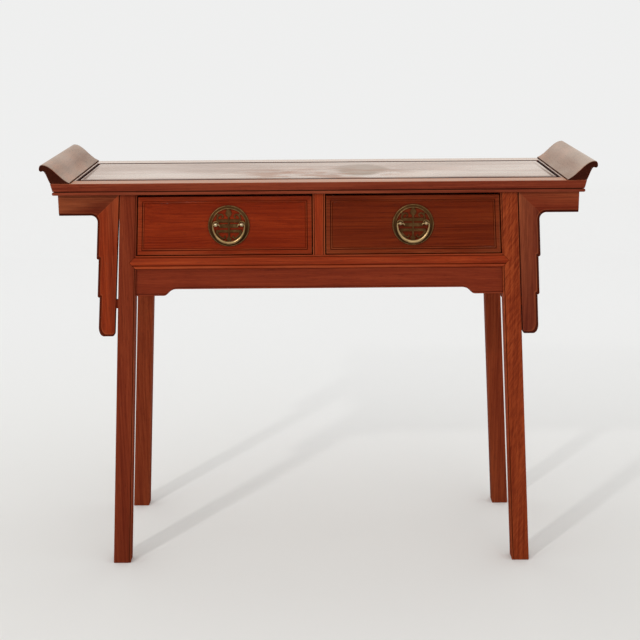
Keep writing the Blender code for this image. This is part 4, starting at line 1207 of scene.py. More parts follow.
@dataclass
class FrontRails:
    """Moulded rail with pointed shoulders, the post between the drawers and the shaped apron."""

    body: Carcass
    rail_depth: float = 0.030
    bead_low: float = 0.0034
    bead_high: float = 0.0014
    quirk: float = 0.0011
    crown_wear_and_highlight: float = 1.5
    side_darkening: float = 0.8
    foot_shade: tuple[float, ...] = (-1.0, -0.8, -0.3)
    flat_step: float = 0.002
    flat_wear_and_shade: tuple[float, ...] = (-0.5, 0.0, 0.2, 0.0, -0.5)
    divider_depth: float = 0.028
    quirk_ease: float = 0.0002
    field_ease: float = 0.0003
    back_ease: float = 0.0005
    spacing: float = 0.00035
    apron_height: float = 0.0432
    ear: float = 0.014
    ear_length: float = 0.0577
    curve: float = 0.029
    apron_recess: float = 0.006
    apron_thickness: float = 0.012
    apron_curve: Handles = ((0.64, 0.0), (0.61, 1.0))
    apron_bead: float = 0.003
    apron_tuck: float = 0.02
    apron_wear_and_highlight: float = 1.6
    foot_wear: float = 0.2
    bead_start: float = 0.08
    bead_rise: float = 0.001
    past_bead: Rows = ((0.0004, 0.0003, -1.0), (0.0010, 0.0, -0.2), (0.0035, 0.0, 0.0))
    seed: int = 41

    def bead_wear_and_shading(self, count: int) -> Array:
        """Edge values across a bead: the sine of its share, lighter on the crown (wear and painted
        highlight) and darker beside it (painted shade).
        """
        return np.sin(np.linspace(0.0, math.pi, count)) * self.crown_wear_and_highlight - self.side_darkening

    def rail(self) -> list[Loft]:
        """Rail as a stack of four-cornered rings, one for each height of its moulded face.

        The half length at a height is that of the opening plus a point that falls away from mid height.

        Returns:
            Shoulder layer and the body behind it.
        """
        body = self.body
        face, rear = body.rail_face, body.rail_face + body.shoulder
        low, high, middle = body.rail_base, body.rail_top, body.rail_middle
        lower = arc((face + self.bead_low, low + self.bead_low), self.bead_low, 270, 90, 14)
        flat_start = low + 2 * self.bead_low + self.quirk
        flat_end = high - 2 * self.bead_high - self.quirk
        steps = (flat_start, flat_start + self.flat_step, middle, flat_end - self.flat_step, flat_end)
        flat = np.array([(face, z) for z in steps])
        upper = arc((face + self.bead_high, high - self.bead_high), self.bead_high, 270, 90, 10)
        profile = np.vstack([lower, flat, upper])
        edge = np.concatenate([self.bead_wear_and_shading(len(lower)), self.flat_wear_and_shade, self.bead_wear_and_shading(len(upper))])
        # Painted shadow under the rail: the foot of the lower bead is darkened.
        edge[: len(self.foot_shade)] = self.foot_shade
        y, z = profile.T
        half = body.inner(z) - body.seat + (high - low) / 2 - np.abs(z - middle)
        front = Loft(slab(half, y, rear, z), edge[:, None])
        levels = np.array([low + body.seat, high - body.seat])
        lap, back = face + body.shoulder / 2, face + self.rail_depth
        return [front, Loft(slab(body.inner(levels) - body.seat, lap, back, levels), 0.0)]

    def divider(self) -> Loft:
        """Post between the drawers with a bead along each front arris.

        Returns:
            The loft of the post.
        """
        half = self.body.divider_width / 2
        face = -self.body.reach((self.body.rail_top + self.body.under) / 2)
        bead = 2 * self.bead_high
        inside = bead + self.quirk
        table = [
            (-half, 0.0, self.bead_high),
            (-half + bead, 0.0, self.bead_high),
            (-half + bead, self.bead_high, self.quirk_ease),
            (-half + inside, 0.0, self.field_ease),
            (half - inside, 0.0, self.field_ease),
            (half - bead, self.bead_high, self.quirk_ease),
            (half - bead, 0.0, self.bead_high),
            (half, 0.0, self.bead_high),
            (half, self.divider_depth, self.back_ease),
            (-half, self.divider_depth, self.back_ease),
        ]
        section = spaced(rounded(table), self.spacing)
        x, y = section.T
        levels = (self.body.rail_top + self.body.seat, self.body.under - self.body.seat)
        # Widened hollows paint the quirks beside the beads dark, painted shade lines.
        return Loft([joined(x, face + y, z) for z in levels], bend(section, widen=3))

    def apron_outline(self, margin: float) -> Array:
        """Front outline of the apron: foot moved up by a margin, head and ends in by a share of it.

        Args:
            margin: Distance from the foot.

        Returns:
            Outline (x, z) with the same number of points for any margin.
        """
        body = self.body
        base = body.rail_base - self.apron_height + margin
        ear = base - self.ear
        tuck = body.seat + margin * self.apron_tuck
        head = body.rail_base - tuck
        ear_end = body.inner(ear) - self.ear_length - margin
        right = swung((ear_end - self.curve, base), (ear_end, ear), *self.apron_curve, 28)
        foot = np.vstack([right, [(body.inner(ear) - tuck, ear)]])
        left = foot[::-1] * (-1.0, 1.0)
        crown = np.array([(body.inner(head) - tuck, head), (-body.inner(head) + tuck, head)])
        return np.vstack([left, foot, crown])

    def apron(self) -> Loft:
        """Apron: a flat board with a half-round bead along its shaped foot.

        The bead rises as the sine of its width, so its face is a stack of outlines with growing margins.

        Returns:
            The loft of the apron.
        """
        face = self.body.rail_face + self.apron_recess
        # The apron's bead is painted lighter on its crown, wear and painted highlight, and darker at its
        # sides and just past it, painted shade.
        rows = [(0.0, self.apron_thickness, self.foot_wear), (0.0, 0.0, self.foot_wear)]
        for share in np.linspace(self.bead_start, 1.0, 8):
            crown = math.sin(math.pi * share)
            value = self.apron_wear_and_highlight * crown - self.side_darkening
            rows.append((share * self.apron_bead, -self.bead_rise * crown, value))
        rows += [(self.apron_bead + past, depth, value) for past, depth, value in self.past_bead]
        return stacked(rows, self.apron_outline, face)

    def build(self) -> None:
        """Make the rail, the post and the apron."""
        wood = FRAME_WOOD.material(Grain.ALONG_X, self.seed)
        add_piece("moulded_rail", self.rail(), wood, "frame", ["front_rail"])
        wood = FRAME_WOOD.material(Grain.ALONG_Z, self.seed + 1)
        add_piece("drawer_post", [self.divider()], wood, "frame", ["drawer_divider"])
        wood = APRON_WOOD.material(Grain.ALONG_X, self.seed + 2)
        add_piece("shaped_apron", [self.apron()], wood, "frame", ["front_apron"])


@dataclass
class Bracket:
    """Mitred hanging bracket: an arm under the top and a stepped drop beside one leg."""

    body: Carcass
    face: int
    side: int
    arm_length: float = 0.126
    arm_height: float = 0.043
    recess: float = 0.001
    thickness: float = 0.018
    width: float = 0.0439
    step: float = 0.0043
    upper: float = 0.135
    middle: float = 0.0806
    lower: float = 0.0830
    gaps: tuple[float, float] = (0.0012, 0.0016)
    leans: tuple[float, float] = (0.0049, 0.0004)
    corner_out: float = 0.0115
    corner_rise: float = 0.0200
    corner_in: float = 0.0050
    fillet: float = 0.0145
    toe_curve: Handles = ((0.55, 0.0), (1.0, 0.45))
    margin: float = 0.0050
    sink: float = 0.0024
    back_wear: float = 0.2
    edge_rows: Rows = ((0.0, 0.0006, -0.9), (0.0004, 0.0, -0.8))
    hollow_ends: tuple[float, float] = (0.2, 0.9)
    hollow_power: float = 0.7
    hollow_shade: float = -0.85
    field_rows: Rows = ((0.0, 0.00015, -0.2), (0.0006, 0.0, 0.8), (0.003, 0.0, 0.0))

    @property
    def gap(self) -> float:
        """Gap between the leg and the head of the drop beside it."""
        return self.body.seat + self.gaps[self.side > 0]

    @property
    def mitre(self) -> float:
        """Angle of the mitre about the middle of the rounded inner corner, in degrees."""
        rise = self.arm_height - self.body.seat + self.fillet
        return math.degrees(math.atan2(rise, self.gap - self.width - self.fillet))

    def leaned(self, points: Array) -> Array:
        """Points measured out from the leg, moved to where the leaning leg and bracket stand.

        Args:
            points: Distances out from the leg and heights.

        Returns:
            Front positions (x, z) for the right side.
        """
        across, z = points.T
        foot = self.leans[self.side > 0]
        share = (self.body.under - z) / (self.upper + self.middle + self.lower)
        return joined(self.body.span(z) + foot * share + across, z)

    def turn(self, margin: float, start: float, end: float) -> Array:
        """Part of the rounded inner corner, moved into the board by a margin.

        Args:
            margin: Distance from the edge.
            start: First angle in degrees.
            end: Last angle in degrees.

        Returns:
            Points of the arc.
        """
        centre = (self.width + self.fillet, self.body.under - self.arm_height - self.fillet)
        return self.leaned(arc(centre, self.fillet + margin, start, end, 12))

    def drawn_back(self, outline: Array, way: float) -> Array:
        """Outline whose two points on the mitre are moved square to it by half a seat.

        Args:
            outline: Outline that starts and ends on the mitre.
            way: -1 for the arm, 1 for the drop.

        Returns:
            The moved outline.
        """
        line = outline[-1] - outline[0]
        across = unit(np.array([-line[1], line[0]]))
        moved = outline.copy()
        moved[[0, -1]] += way * across * self.body.seat / 2
        return moved

    def arm(self, margin: float) -> Array:
        """Outline of an arm from the foot of the mitre, its lower edge moved in by a margin.

        Args:
            margin: Distance from the edge.

        Returns:
            Outline (x, z).
        """
        head = self.body.under - self.body.seat
        end = self.body.span(self.body.under) + self.arm_length
        low = self.body.under - self.arm_height + margin
        corner = self.leaned(np.array([(self.gap, head)]))
        turn = self.turn(margin, self.mitre, 90)
        return self.drawn_back(np.vstack([turn, [(end, low), (end, head)], corner]), -1.0)

    def drop(self, margin: float) -> Array:
        """Outline of a drop from the head of the mitre, its stepped edge and foot moved in by a margin.

        Args:
            margin: Distance from the edge.

        Returns:
            Outline (x, z).
        """
        head = self.body.under - self.body.seat
        first = self.body.under - self.upper + margin
        second = first - self.middle
        foot = self.body.under - self.upper - self.middle - self.lower + margin
        mid_width = self.width - margin - self.step
        low_width = mid_width - self.step
        heel = (self.gap + self.corner_in, foot + self.corner_in)
        toe = (low_width - self.corner_out, foot)
        cheek = (low_width, foot + self.corner_rise)
        edge = np.vstack(
            [
                [(self.gap, head)],
                arc(heel, self.corner_in, 180, 270),
                swung(toe, cheek, *self.toe_curve, 14),
                arc((low_width, second + self.step), self.step, 270, 360),
                arc((mid_width, first + self.step), self.step, 270, 360),
            ]
        )
        outline = np.vstack([self.leaned(edge), self.turn(margin, 180, self.mitre)])
        return self.drawn_back(outline, 1.0)

    def board(self, outline: Callable[[float], Array]) -> Loft:
        """Board with a hollow margin, whose depth falls as a power of a cosine from the edge to the field.
        The margin and outer arris are painted dark, a painted shade, and a line along the field's rim
        light, a painted highlight.

        Args:
            outline: Method that gives the outline at a margin.

        Returns:
            The loft of the board.
        """
        front = self.body.reach(self.body.under) - self.recess
        rows = [(0.0, self.thickness, self.back_wear)]
        rows += [(inset, self.sink + depth, value) for inset, depth, value in self.edge_rows]
        for share in np.linspace(*self.hollow_ends, 6):
            depth = self.sink * math.cos(math.pi / 2 * share) ** self.hollow_power
            rows.append((share * self.margin, depth, self.hollow_shade))
        rows += [(self.margin + past, depth, value) for past, depth, value in self.field_rows]
        return stacked(rows, outline, self.face * front, self.side, -self.face)

    def build(self, name: str, seed: int) -> None:
        """Make the arm and the drop.

        Args:
            name: Corner that the bracket stands at.
            seed: Seed of the arm; the drop takes the next.
        """
        left = self.side < 0
        # The right drops take the copy darkened for painted shade.
        arm_wood, drop_wood = (ARM_WOOD, DROP_WOOD) if left else (LIGHT_ARM_WOOD, SHADED_DROP_WOOD)
        wood, node = arm_wood.material(Grain.ALONG_X, seed), f"bracket_arm_{name}"
        add_piece(f"hanging_arm_{name}", [self.board(self.arm)], wood, "frame", [node])
        wood, node = drop_wood.material(Grain.ALONG_Z, seed + 1), f"bracket_drop_{name}"
        add_piece(f"stepped_drop_{name}", [self.board(self.drop)], wood, "frame", [node])


@dataclass
class DrawerFronts:
    """Drawer fronts with a raised bead between two fine grooves."""

    body: Carcass
    side_gap: float = 0.0022
    low: float = 0.6795
    high: float = 0.8000
    face: float = -0.1765
    thickness: float = 0.018
    line_inset: float = 0.0085
    groove_width: float = 0.0019
    groove_depth: float = 0.0010
    groove_wax_and_shade: Points = ((0.2, -0.6, 1.0), (-0.1, 0.1, 0.4))
    bead_width: float = 0.0018
    bead_fall: float = 0.0004
    bead_wear_and_shading: float = 0.9
    field_start: float = 0.0020
    head: float = 0.004
    head_line: float = 0.35
    # The arris rows paint the front's arris lighter, wear and painted highlight.
    arris_rows: Rows = ((0.0, 0.0009, 0.5), (0.0003, 0.0003, 1.0), (0.0009, 0.0, 0.6))
    border_start: float = 0.0030
    border_end: float = 0.0010
    border_wear: float = 0.3
    seed: int = 71

    def outline(self, inset: float) -> Array:
        """Corners of the right front and a point just below each upper one, moved in by an inset.

        Args:
            inset: Distance from the edges.

        Returns:
            Six (x, z) points; the fourth and fifth are the upper corners.
        """
        near = self.body.divider_width / 2 + self.side_gap + inset
        low, high = self.low + inset, self.high - inset
        neck = high - self.head
        far = [(self.body.inner(z) - self.side_gap - inset, z) for z in (low, neck, high)]
        return np.array([(near, low), *far, (near, high), (near, neck)])

    def groove(self, start: float, lead: float, trail: float, wax_and_shade: float) -> list[tuple[float, ...]]:
        """Rows of a groove: it sinks as the sine of its share, and darkens by the same sine, for wax and
        painted shade.

        Args:
            start: Inset of its outer edge.
            lead: Edge value at its outer edge.
            trail: Edge value at its inner edge.
            wax_and_shade: Strength of that darkening.

        Returns:
            Inset, depth and edge value of each row.
        """
        share = np.linspace(0.0, 1.0, 7)
        fall = np.sin(math.pi * share)
        value = np.linspace(lead, trail, len(share)) - wax_and_shade * fall
        return list(zip(start + share * self.groove_width, self.groove_depth * fall, value))

    def front(self, side: int) -> Loft:
        """Front as a stack of outlines: eased arris, flat border, groove, half-round bead, groove, field.

        Args:
            side: -1 for the left, 1 for the right.

        Returns:
            The loft of the front.
        """
        rows = [(0.0, self.thickness, 0.0), *self.arris_rows]
        for inset in (self.border_start, self.line_inset - self.border_end):
            rows.append((inset, 0.0, self.border_wear))
        outer, inner = self.groove_wax_and_shade
        rows += self.groove(self.line_inset, *outer)
        start = self.line_inset + self.groove_width
        for share in np.linspace(0.15, 0.85, 6):
            crown = math.sin(math.pi * share)
            inset, depth = start + share * self.bead_width, self.bead_fall * (1 - crown)
            rows.append((inset, depth, self.bead_wear_and_shading * crown))
        start += self.bead_width
        rows += self.groove(start, *inner)
        rows.append((start + self.groove_width + self.field_start, 0.0, 0.0))
        # The painted shade and highlight lines are fainter along the head, which lies in the top's shadow.
        faint = np.array([1.0, 1.0, 1.0, self.head_line, self.head_line, 1.0])
        rows = [(inset, depth, value * faint) for inset, depth, value in rows]
        return stacked(rows, self.outline, self.face, side)

    def build(self) -> None:
        """Make both fronts."""
        for side_name, side in SIDES.items():
            finish = LEFT_DRAWER_WOOD if side < 0 else RIGHT_DRAWER_WOOD
            wood = finish.material(Grain.ALONG_X, self.seed + side)
            name = f"drawer_{side_name}"
            add_piece(f"{name}_face", [self.front(side)], wood, name, [f"{name}_front"])


@dataclass(frozen=True)
class Scroll:
    """Scroll of the pierced plate: points of its middle line, width at each end and height."""

    points: Points
    start: float
    end: float
    height: float


SCROLLS = (
    Scroll(
        (
            (0.0213, 0.0085),
            (0.0236, 0.0135),
            (0.0222, 0.0190),
            (0.0178, 0.0232),
            (0.0128, 0.0222),
            (0.0118, 0.0180),
            (0.0148, 0.0166),
        ),
        start=0.0042,
        end=0.0022,
        height=0.0019,
    ),
    Scroll(((0.0205, 0.0214), (0.0232, 0.0238), (0.0252, 0.0256)), 0.0036, 0.0036, 0.0018),
    Scroll(
        (
            (0.0238, -0.0095),
            (0.0246, -0.0140),
            (0.0212, -0.0202),
            (0.0160, -0.0246),
            (0.0108, -0.0262),
            (0.0078, -0.0236),
            (0.0096, -0.0208),
        ),
        start=0.0050,
        end=0.0024,
        height=0.0019,
    ),
    Scroll(((0.0180, -0.0232), (0.0205, -0.0258), (0.0222, -0.0282)), 0.0034, 0.0034, 0.0018),
)


@dataclass
class Pull:
    """Pierced round plate with bars and scrolls, two posts and a crescent bail.

    Sizes of the pattern are measured across and up from the middle of the plate.
    """

    side_name: str
    x: float
    level: float = 0.73975
    seat_depth: float = -0.1768
    radius: float = 0.0427
    rim: float = 0.0078
    bright_rim: float = 0.0022
    collar: float = 0.0058
    stem: float = 0.0034
    post_half: float = 0.0265
    post_rise: float = 0.0034
    axis_depth: float = -0.185
    head: float = 0.0042
    neck: float = 0.0023
    eye: float = 0.0022
    pin: float = 0.0017
    belly: float = 0.0036
    bail_half: float = 0.0327
    bail_drop: float = 0.038
    bail_bend: float = 0.003
    bail_curl: Points = ((0.0178, -0.0034), (0.0182, -0.0018), (0.0195, -0.0005), (0.0212, 0.0))
    bail_run: Points = ((0.0240, 0.0), (0.0265, 0.0), (0.0285, 0.0))
    bail_tip: float = 0.0011
    bail_flat: float = 0.94
    bail_light_and_shade: tuple[float, float] = (0.8, 0.5)
    belly_power: float = 1.3
    rim_section: Points = (
        (0, 0.0, 0.0, 0.0003),
        (0, 0.0, 0.0026, 0.0007),
        (0, 0.0013, 0.0031, 0.0006),
        (0, 0.0020, 0.0024, 0.0003),
        (1, -0.0024, 0.0027, 0.0003),
        (1, -0.0016, 0.0032, 0.0006),
        (1, 0.0, 0.0022, 0.0009),
        (1, 0.0, 0.0, 0.0003),
    )
    rim_spacing: float = 0.0004
    rim_arris: float = 0.0007
    bail_shadow_from: float = 0.4
    bevel: float = 0.0007
    bevel_share: float = 0.45
    bevel_drop: float = 0.0006
    arris_shine: float = 0.08
    side_darkening: float = -0.8
    lap: float = 0.0008
    stem_ends: tuple[float, float] = (-0.0285, 0.0205)
    stem_height: float = 0.0024
    finial_neck: float = 0.0034
    finial_height: float = 0.0022
    spade_start: float = 0.0185
    spade_width: float = 0.0115
    spade_tip: float = 0.0024
    leaf_start: float = -0.0225
    leaf_width: float = 0.0072
    bars: Points = ((0.0102, 0.0215, 0.0070), (-0.0004, 0.0196, 0.0076), (-0.0112, 0.0252, 0.0058))
    bar_height: float = 0.0020
    boss_start: float = 0.0200
    boss_width: float = 0.0078
    boss_height: float = 0.0021
    collar_turn: tuple[float, float] = (-5, 205)
    collar_widths: tuple[float, float] = (0.0028, 0.0016)
    collar_height: float = 0.0030
    foot_share: float = 1.5
    foot_steps: tuple[float, ...] = (0.0022, 0.0034, 0.0040)
    foot_wear: tuple[float, ...] = (0.2, 0.8, -0.6)
    ball_wear_and_highlight: tuple[float, float] = (-0.3, 1.0)

    def place(self, across: Array, up: Array, out: Array) -> Array:
        """Points of the plate from positions across, up and out from the drawer."""
        return joined(self.x + across, self.seat_depth - out, self.level + up)

    def ring(self) -> Loft:
        """Rim: a section with a raised line at each edge, turned about the middle of the plate.

        Its section lists the edge that each corner belongs to (0 inner, 1 outer), the distance from it,
        height and easing. It is painted darker where the bail lies, by bail_shadow_from - cos(angle), a
        painted shadow of the bail, and stays bright along its outer line.

        Returns:
            The loft, closed on itself.
        """
        edges = (self.radius - self.rim, self.radius)
        table = [(edges[at] + past, height, ease) for at, past, height, ease in self.rim_section]
        section = spaced(rounded(table), self.rim_spacing)
        angle = full_turn(96)[:, None]
        radius, out = section.T
        rings = self.place(radius * np.sin(angle), radius * np.cos(angle), out)
        inside = radius < self.radius - self.bright_rim
        # Painted shadow of the bail: the rim darkens on its lower half, inside its outer line.
        low = np.clip(self.bail_shadow_from - np.cos(angle), 0.0, 1.0) * inside
        return Loft(rings, bend(section, self.rim_arris) * (1 - low) - low, looped=True)

    def band(self, line: Array, widths: Any, height: float, shine: float = 0.12) -> Loft:
        """Flat bar with bevelled arrises: a six-cornered section carried along a line in the plate.

        Args:
            line: Points (across, up) of its middle line.
            widths: Full width at each point, or one width.
            height: Height above the drawer.
            shine: How far its face is rubbed.

        Returns:
            The loft of the bar.
        """
        half = np.broadcast_to(np.asarray(widths, float) / 2, (len(line),))[:, None]
        bevel = np.minimum(self.bevel, half * self.bevel_share)
        across = np.concatenate([-half, -half, -half + bevel, half - bevel, half, half], axis=1)
        low = height - self.bevel_drop
        out = np.array([0.0, low, height, height, low, 0.0])
        flat = line[:, None] + square_to(line)[:, None] * across[..., None]
        arris = shine + self.arris_shine
        edge = np.array([self.side_darkening, arris, shine, shine, arris, self.side_darkening])
        return Loft(self.place(flat[..., 0], flat[..., 1], out), edge)

    def pattern(self) -> list[Loft]:
        """Bars, stem, finials and scrolls inside the rim.

        Returns:
            One shell for each.
        """
        inner = self.radius - self.rim + self.lap
        stem = joined(0.0, np.linspace(*self.stem_ends, 12))
        shells = [self.band(stem, self.stem, self.stem_height)]
        share = np.linspace(0.0, 1.0, 18)
        spade = np.sin(math.pi * share) ** 0.8 * (1 - 0.25 * share)
        spade = self.finial_neck + self.spade_width * spade - self.spade_tip * share
        line = joined(0.0, np.linspace(self.spade_start, inner, len(share)))
        shells.append(self.band(line, spade, self.finial_height))
        share = np.linspace(0.0, 1.0, 14)
        leaf = self.finial_neck + self.leaf_width * np.sin(math.pi * np.minimum(share * 1.3, 1.0)) ** 1.2
        line = joined(0.0, np.linspace(self.leaf_start, -inner, len(share)))
        shells.append(self.band(line, leaf, self.finial_height))
        for middle, half, width in self.bars:
            line = joined(np.linspace(-half, half, 14), middle)
            shells.append(self.band(line, width, self.bar_height))
        for side in SIDES.values():
            mirror = (side, 1.0)
            for scroll in SCROLLS:
                line = through(scroll.points)
                widths = np.linspace(scroll.start, scroll.end, len(line))
                shells.append(self.band(line * mirror, widths, scroll.height))
            boss = joined(side * np.linspace(self.boss_start, inner, 8), self.post_rise)
            shells.append(self.band(boss, self.boss_width, self.boss_height))
            # The collars are painted fully rubbed, partly a painted highlight.
            curl = arc((self.post_half, self.post_rise), self.collar, *self.collar_turn, 16)
            widths = np.linspace(*self.collar_widths, len(curl))
            shells.append(self.band(curl * mirror, widths, self.collar_height, 1.0))
        return shells

    def post(self, hand: int) -> tuple[Loft, Loft]:
        """Round-headed post turned about its own axis, and the bore of its eye.

        Args:
            hand: -1 for the left post, 1 for the right.

        Returns:
            The post and the shape of its eye.
        """
        reach = self.seat_depth - self.axis_depth
        start = math.degrees(math.asin(self.neck / self.head))
        ball = arc((0.0, 0.0), self.head, start - 90, 88, 18)
        foot = self.neck * self.foot_share
        radius = np.concatenate([[foot, foot, self.neck], np.abs(ball[:, 0])])
        out = np.concatenate([self.foot_steps, reach + ball[:, 1]])
        # The ball is painted from darker at its neck to bright at its front, wear and painted highlight.
        edge = np.concatenate([self.foot_wear, np.linspace(*self.ball_wear_and_highlight, len(ball))])
        turn = full_turn(32)
        centre = hand * self.post_half
        across = centre + radius[:, None] * np.cos(turn)
        up = self.post_rise + radius[:, None] * np.sin(turn)
        post = Loft(self.place(across, up, out[:, None]), edge[:, None])
        hole = np.linspace(-2.0, 2.0, 2)[:, None] * self.head + centre
        round_up, round_out = self.eye * np.sin(turn), self.eye * np.cos(turn)
        return post, Loft(self.place(hole, self.post_rise + round_up, reach + round_out), 0.0)

    def bail(self) -> Loft:
        """Crescent bail: an oval section carried along a line, its width growing towards the foot.

        The line starts in a small curl inside one post, runs through the eye, turns down and follows
        half an ellipse to the other side. Radius = pin + (belly - pin) sin(angle)^power.

        Returns:
            The loft of the bail.
        """
        bend_at = self.bail_half - self.bail_bend
        corner = arc((bend_at, -self.bail_bend), self.bail_bend, 90, 0, 8)
        angle = np.linspace(0.0, math.pi / 2, 29)[1:]
        fall = self.bail_drop - self.bail_bend
        sweep = joined(self.bail_half * np.cos(angle), -self.bail_bend - fall * np.sin(angle))
        half = np.vstack([self.bail_curl, self.bail_run, corner, sweep])
        tip = np.linspace(self.bail_tip, self.pin, len(self.bail_curl) + 1)
        slim = np.full(len(half) - len(sweep) - len(tip), self.pin)
        full = self.pin + (self.belly - self.pin) * np.sin(angle) ** self.belly_power
        girth = np.concatenate([tip, slim, full])
        line = np.vstack([half, half[-2::-1] * (-1.0, 1.0)])
        girth = np.concatenate([girth, girth[-2::-1]])[:, None]
        turn = full_turn(20)
        flat = line[:, None] + square_to(line)[:, None] * (girth * np.cos(turn))[..., None]
        out = girth * np.sin(turn) * self.bail_flat
        reach = self.seat_depth - self.axis_depth
        rings = self.place(flat[..., 0], flat[..., 1] + self.post_rise, reach + out)
        # Painted highlight and shade on the bail: its inner front side lighter, its outer back side
        # darker.
        front, upper = self.bail_light_and_shade
        return Loft(rings, front * np.sin(turn) - upper * np.cos(turn))

    def build(self) -> None:
        """Make the plate, its posts and the bail."""
        side, drawer = self.side_name, f"drawer_{self.side_name}"
        plate = [self.ring(), *self.pattern()]
        brass = PLATE_BRASS.material()
        add_piece(f"pierced_plate_{side}", plate, brass, drawer, [f"pull_{side}_plate"])
        for post_name, hand in SIDES.items():
            post, bore = self.post(hand)
            node = f"pull_{side}_post_{post_name}"
            brass = (POST_BRASS if side == "left" else DULL_POST_BRASS).material()
            item = add_piece(f"eyed_post_{side}_{post_name}", [post], brass, drawer, [node])
            carve(item, [bore])
        body = f"bail_{side}"
        brass = (BAIL_BRASS if side == "left" else BRIGHT_BAIL_BRASS).material()
        add_piece(f"crescent_{side}", [self.bail()], brass, body, [body])


@dataclass
class PlainPieces:
    """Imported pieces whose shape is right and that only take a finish."""

    boards: tuple[tuple[str, WoodFinish, Grain], ...] = (
        ("back_rail", FRAME_WOOD, Grain.ALONG_X),
        ("back_panel", FRAME_WOOD, Grain.ALONG_X),
        ("side_rail", FRAME_WOOD, Grain.ALONG_Y),
        ("side_panel", FRAME_WOOD, Grain.ALONG_Y),
        ("bracket_peg", FRAME_WOOD, Grain.ALONG_X),
        ("top_batten", INNER_WOOD, Grain.ALONG_Y),
        ("runner", INNER_WOOD, Grain.ALONG_Y),
        ("inner_side", INNER_WOOD, Grain.ALONG_Y),
        ("outer_side", INNER_WOOD, Grain.ALONG_Y),
        ("_back", INNER_WOOD, Grain.ALONG_X),
        ("_bottom", INNER_WOOD, Grain.ALONG_X),
    )
    seed: int = 81

    def build(self) -> None:
        """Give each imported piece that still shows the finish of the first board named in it."""
        shown = [name for name, node in sorted(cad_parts.items()) if not node.hide_render]
        for seed, name in enumerate(shown, self.seed):
            finish, grain = next(look for part, *look in self.boards if part in name)
            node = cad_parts[name]
            node.data.materials.clear()
            node.data.materials.append(finish.material(grain, seed))
            log.info("%s: packed piece in %s", name, finish.name)


@dataclass(frozen=True)
class Lamp:
    """Square area lamp: power in watts, side in metres, place and the point that it faces."""

    name: str
    power: float
    size: float
    place: Spot
    aim: Spot
    colour: Colour = (1.0, 0.985, 0.96)


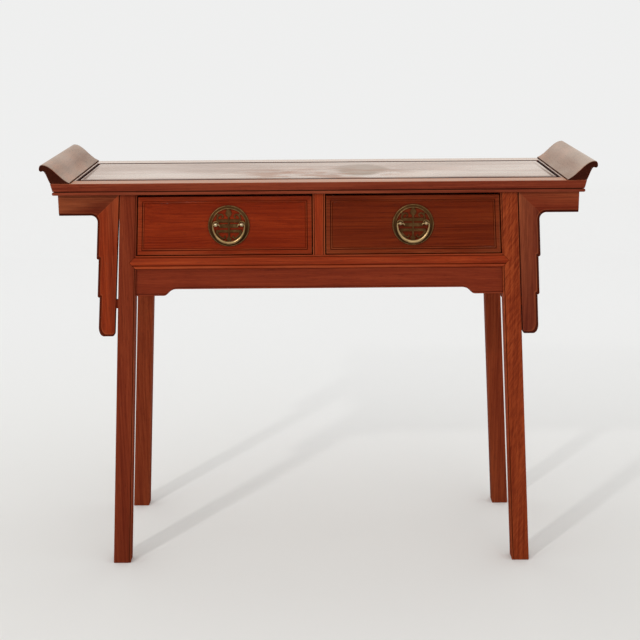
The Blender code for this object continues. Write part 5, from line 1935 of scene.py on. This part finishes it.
@dataclass
class Studio:
    """Pale floor and wall, soft light and the camera."""

    wall: float = 3.57
    cove: float = 0.25
    half_width: float = 9.0
    front: float = -7.0
    height: float = 6.0
    lens: float = 75.0
    sensor: float = 36.0
    eye: Spot = (-0.0049, -2.8787, 1.2019)
    yaw: float = 0.0021
    pitch: float = 0.2405
    roll: float = -0.0073
    near_floor: Colour = (0.838, 0.836, 0.822)
    far_floor: Colour = (0.930, 0.932, 0.920)
    shown: Colour = (0.862, 0.864, 0.860)
    mirrored_wall: Colour = (0.95, 0.885, 0.82)
    ambient: float = 0.80
    mirrored: float = 0.28
    air: Colour = (1.0, 0.995, 0.985)
    lamps: tuple[Lamp, ...] = (
        Lamp("key", 62.0, 0.22, (-2.6, -4.2, 3.4), (0.0, 0.0, 0.4)),
        Lamp("fill", 20.0, 3.0, (1.5, -5.0, 3.2), (0.0, 0.0, 0.5)),
    )
    floor_fade: tuple[float, float] = (-0.5, 1.3)
    gloss_fade: tuple[float, float] = (0.3, 1.5)
    gloss_dim: float = 0.7
    wall_fade: tuple[float, float] = (0.0, 0.35)
    even_fade: tuple[float, float] = (-0.3, 2.4)
    even_floor: float = 0.85
    far: float = 100.0

    def backdrop(self) -> None:
        """Floor that turns up into a wall: a line of depth and height carried along X."""
        bend_line = arc((self.wall - self.cove, self.cove), self.cove, -90, 0, 16)
        line = np.vstack([[(self.front, 0.0)], bend_line, [(self.wall, self.height)]])
        grid = np.stack([joined(x, *line.T) for x in (-self.half_width, self.half_width)])
        count = len(line)
        number = np.arange(2 * count).reshape(2, count)
        faces = np.stack([number[0, :-1], number[1, :-1], number[1, 1:], number[0, 1:]], axis=1)
        mesh = bpy.data.meshes.new("backdrop")
        mesh.from_pydata(grid.reshape(-1, 3).tolist(), [], faces.tolist())
        mesh.shade_smooth()
        item = bpy.data.objects.new("backdrop", mesh)
        bpy.context.scene.collection.objects.link(item)
        mesh.materials.append(self.pale())

    def pale(self) -> bpy.types.Material:
        """Pale paint: a matt floor that takes shadows, and a wall that shows evenly to camera and gloss.

        Returns:
            The material.
        """
        sheet = Sheet(bpy.data.materials.new("pale_paint"))
        depth, rise = sheet.place("Y"), sheet.place("Z")
        seen, gloss, clear = (sheet.ray(kind) for kind in ("Camera", "Glossy", "Transmission"))
        floor = sheet.mix(self.near_floor, self.far_floor, depth.step(*self.floor_fade))
        dimmed = gloss * (1.0 - depth.step(*self.gloss_fade)) * self.gloss_dim
        matt = sheet.node("ShaderNodeBsdfDiffuse", {}, {"Color": sheet.mix(floor, BLACK, dimmed)})
        shown = sheet.mix(self.shown, self.mirrored_wall, gloss)
        lit = sheet.node("ShaderNodeEmission", {}, {"Color": shown})
        even = rise.step(*self.wall_fade).most(depth.step(*self.even_fade) * self.even_floor)
        share = seen.most(gloss).most(clear) * even
        surface = sheet.node("ShaderNodeMixShader", {}, {0: share, 1: matt, 2: lit})
        sheet.node("ShaderNodeOutputMaterial", {}, {"Surface": surface})
        return sheet.owner

    def world(self) -> None:
        """Even pale surroundings; what gloss mirrors of the room in front is dimmer."""
        world = bpy.data.worlds.new("studio")
        bpy.context.scene.world = world
        sheet = Sheet(world)
        seen, gloss = sheet.ray("Camera"), sheet.ray("Glossy")
        level = self.ambient + seen * (self.shown[0] - self.ambient)
        level = level + gloss * (self.mirrored - self.ambient)
        air = {"Color": (*self.air, 1.0), "Strength": level}
        ground = sheet.node("ShaderNodeBackground", {}, air)
        sheet.node("ShaderNodeOutputWorld", {}, {"Surface": ground})

    def stand(self, name: str, data: Any, axes: Sequence[Array], place: Spot) -> bpy.types.Object:
        """Lamp or camera at a place.

        Args:
            name: Name of the object.
            data: The lamp or camera.
            axes: Directions of its right, its upper side and its back.
            place: Where it stands.

        Returns:
            The object, linked to the scene.
        """
        turn = np.eye(4)
        turn[:3, :4] = np.column_stack([*axes, place])
        item = bpy.data.objects.new(name, data)
        item.matrix_world = Matrix(turn.tolist())
        bpy.context.scene.collection.objects.link(item)
        return item

    def hang(self, lamp: Lamp) -> None:
        """Hang a lamp, turned towards its aim.

        Args:
            lamp: The lamp.
        """
        light = bpy.data.lights.new(lamp.name, "AREA")
        light.energy = lamp.power
        light.size = lamp.size
        light.color = lamp.colour
        away = unit(np.subtract(lamp.place, lamp.aim))
        right = unit(np.cross((0.0, 0.0, 1.0), away))
        self.stand(lamp.name, light, (right, np.cross(away, right), away), lamp.place)

    def camera(self) -> None:
        """Camera at the eye: forward from yaw and pitch, then rolled about the line of sight."""
        (sin_yaw, sin_pitch, sin_roll), (cos_yaw, cos_pitch, cos_roll) = (
            [turn(angle) for angle in (self.yaw, self.pitch, self.roll)] for turn in (math.sin, math.cos)
        )
        forward = np.array([sin_yaw * cos_pitch, cos_yaw * cos_pitch, -sin_pitch])
        right = np.array([cos_yaw, -sin_yaw, 0.0])
        up = np.cross(right, forward)
        across = right * cos_roll + up * sin_roll
        upward = up * cos_roll - right * sin_roll
        data = bpy.data.cameras.new("camera")
        data.lens = self.lens
        data.sensor_width = self.sensor
        data.clip_end = self.far
        bpy.context.scene.camera = self.stand("camera", data, (across, upward, -forward), self.eye)

    def build(self) -> None:
        """Set up backdrop, light and camera."""
        bpy.context.scene.view_settings.view_transform = "Standard"
        self.backdrop()
        self.world()
        for lamp in self.lamps:
            self.hang(lamp)
        self.camera()


def main() -> None:
    """Build every sub-assembly in order."""
    logging.basicConfig(level=logging.INFO, format="%(name)s %(message)s")
    body = Carcass()
    TopFrame(body).build()
    Flanges(body).build()
    Legs(body).build()
    FrontRails(body).build()
    for number, (name, face, side) in enumerate(CORNERS):
        Bracket(body, face, side).build(name, BRACKET_SEED + 2 * number)
    DrawerFronts(body).build()
    for name, x in PULL_PLACES.items():
        Pull(name, x).build()
    PlainPieces().build()
    Studio().build()


if __name__ == "__main__":
    main()
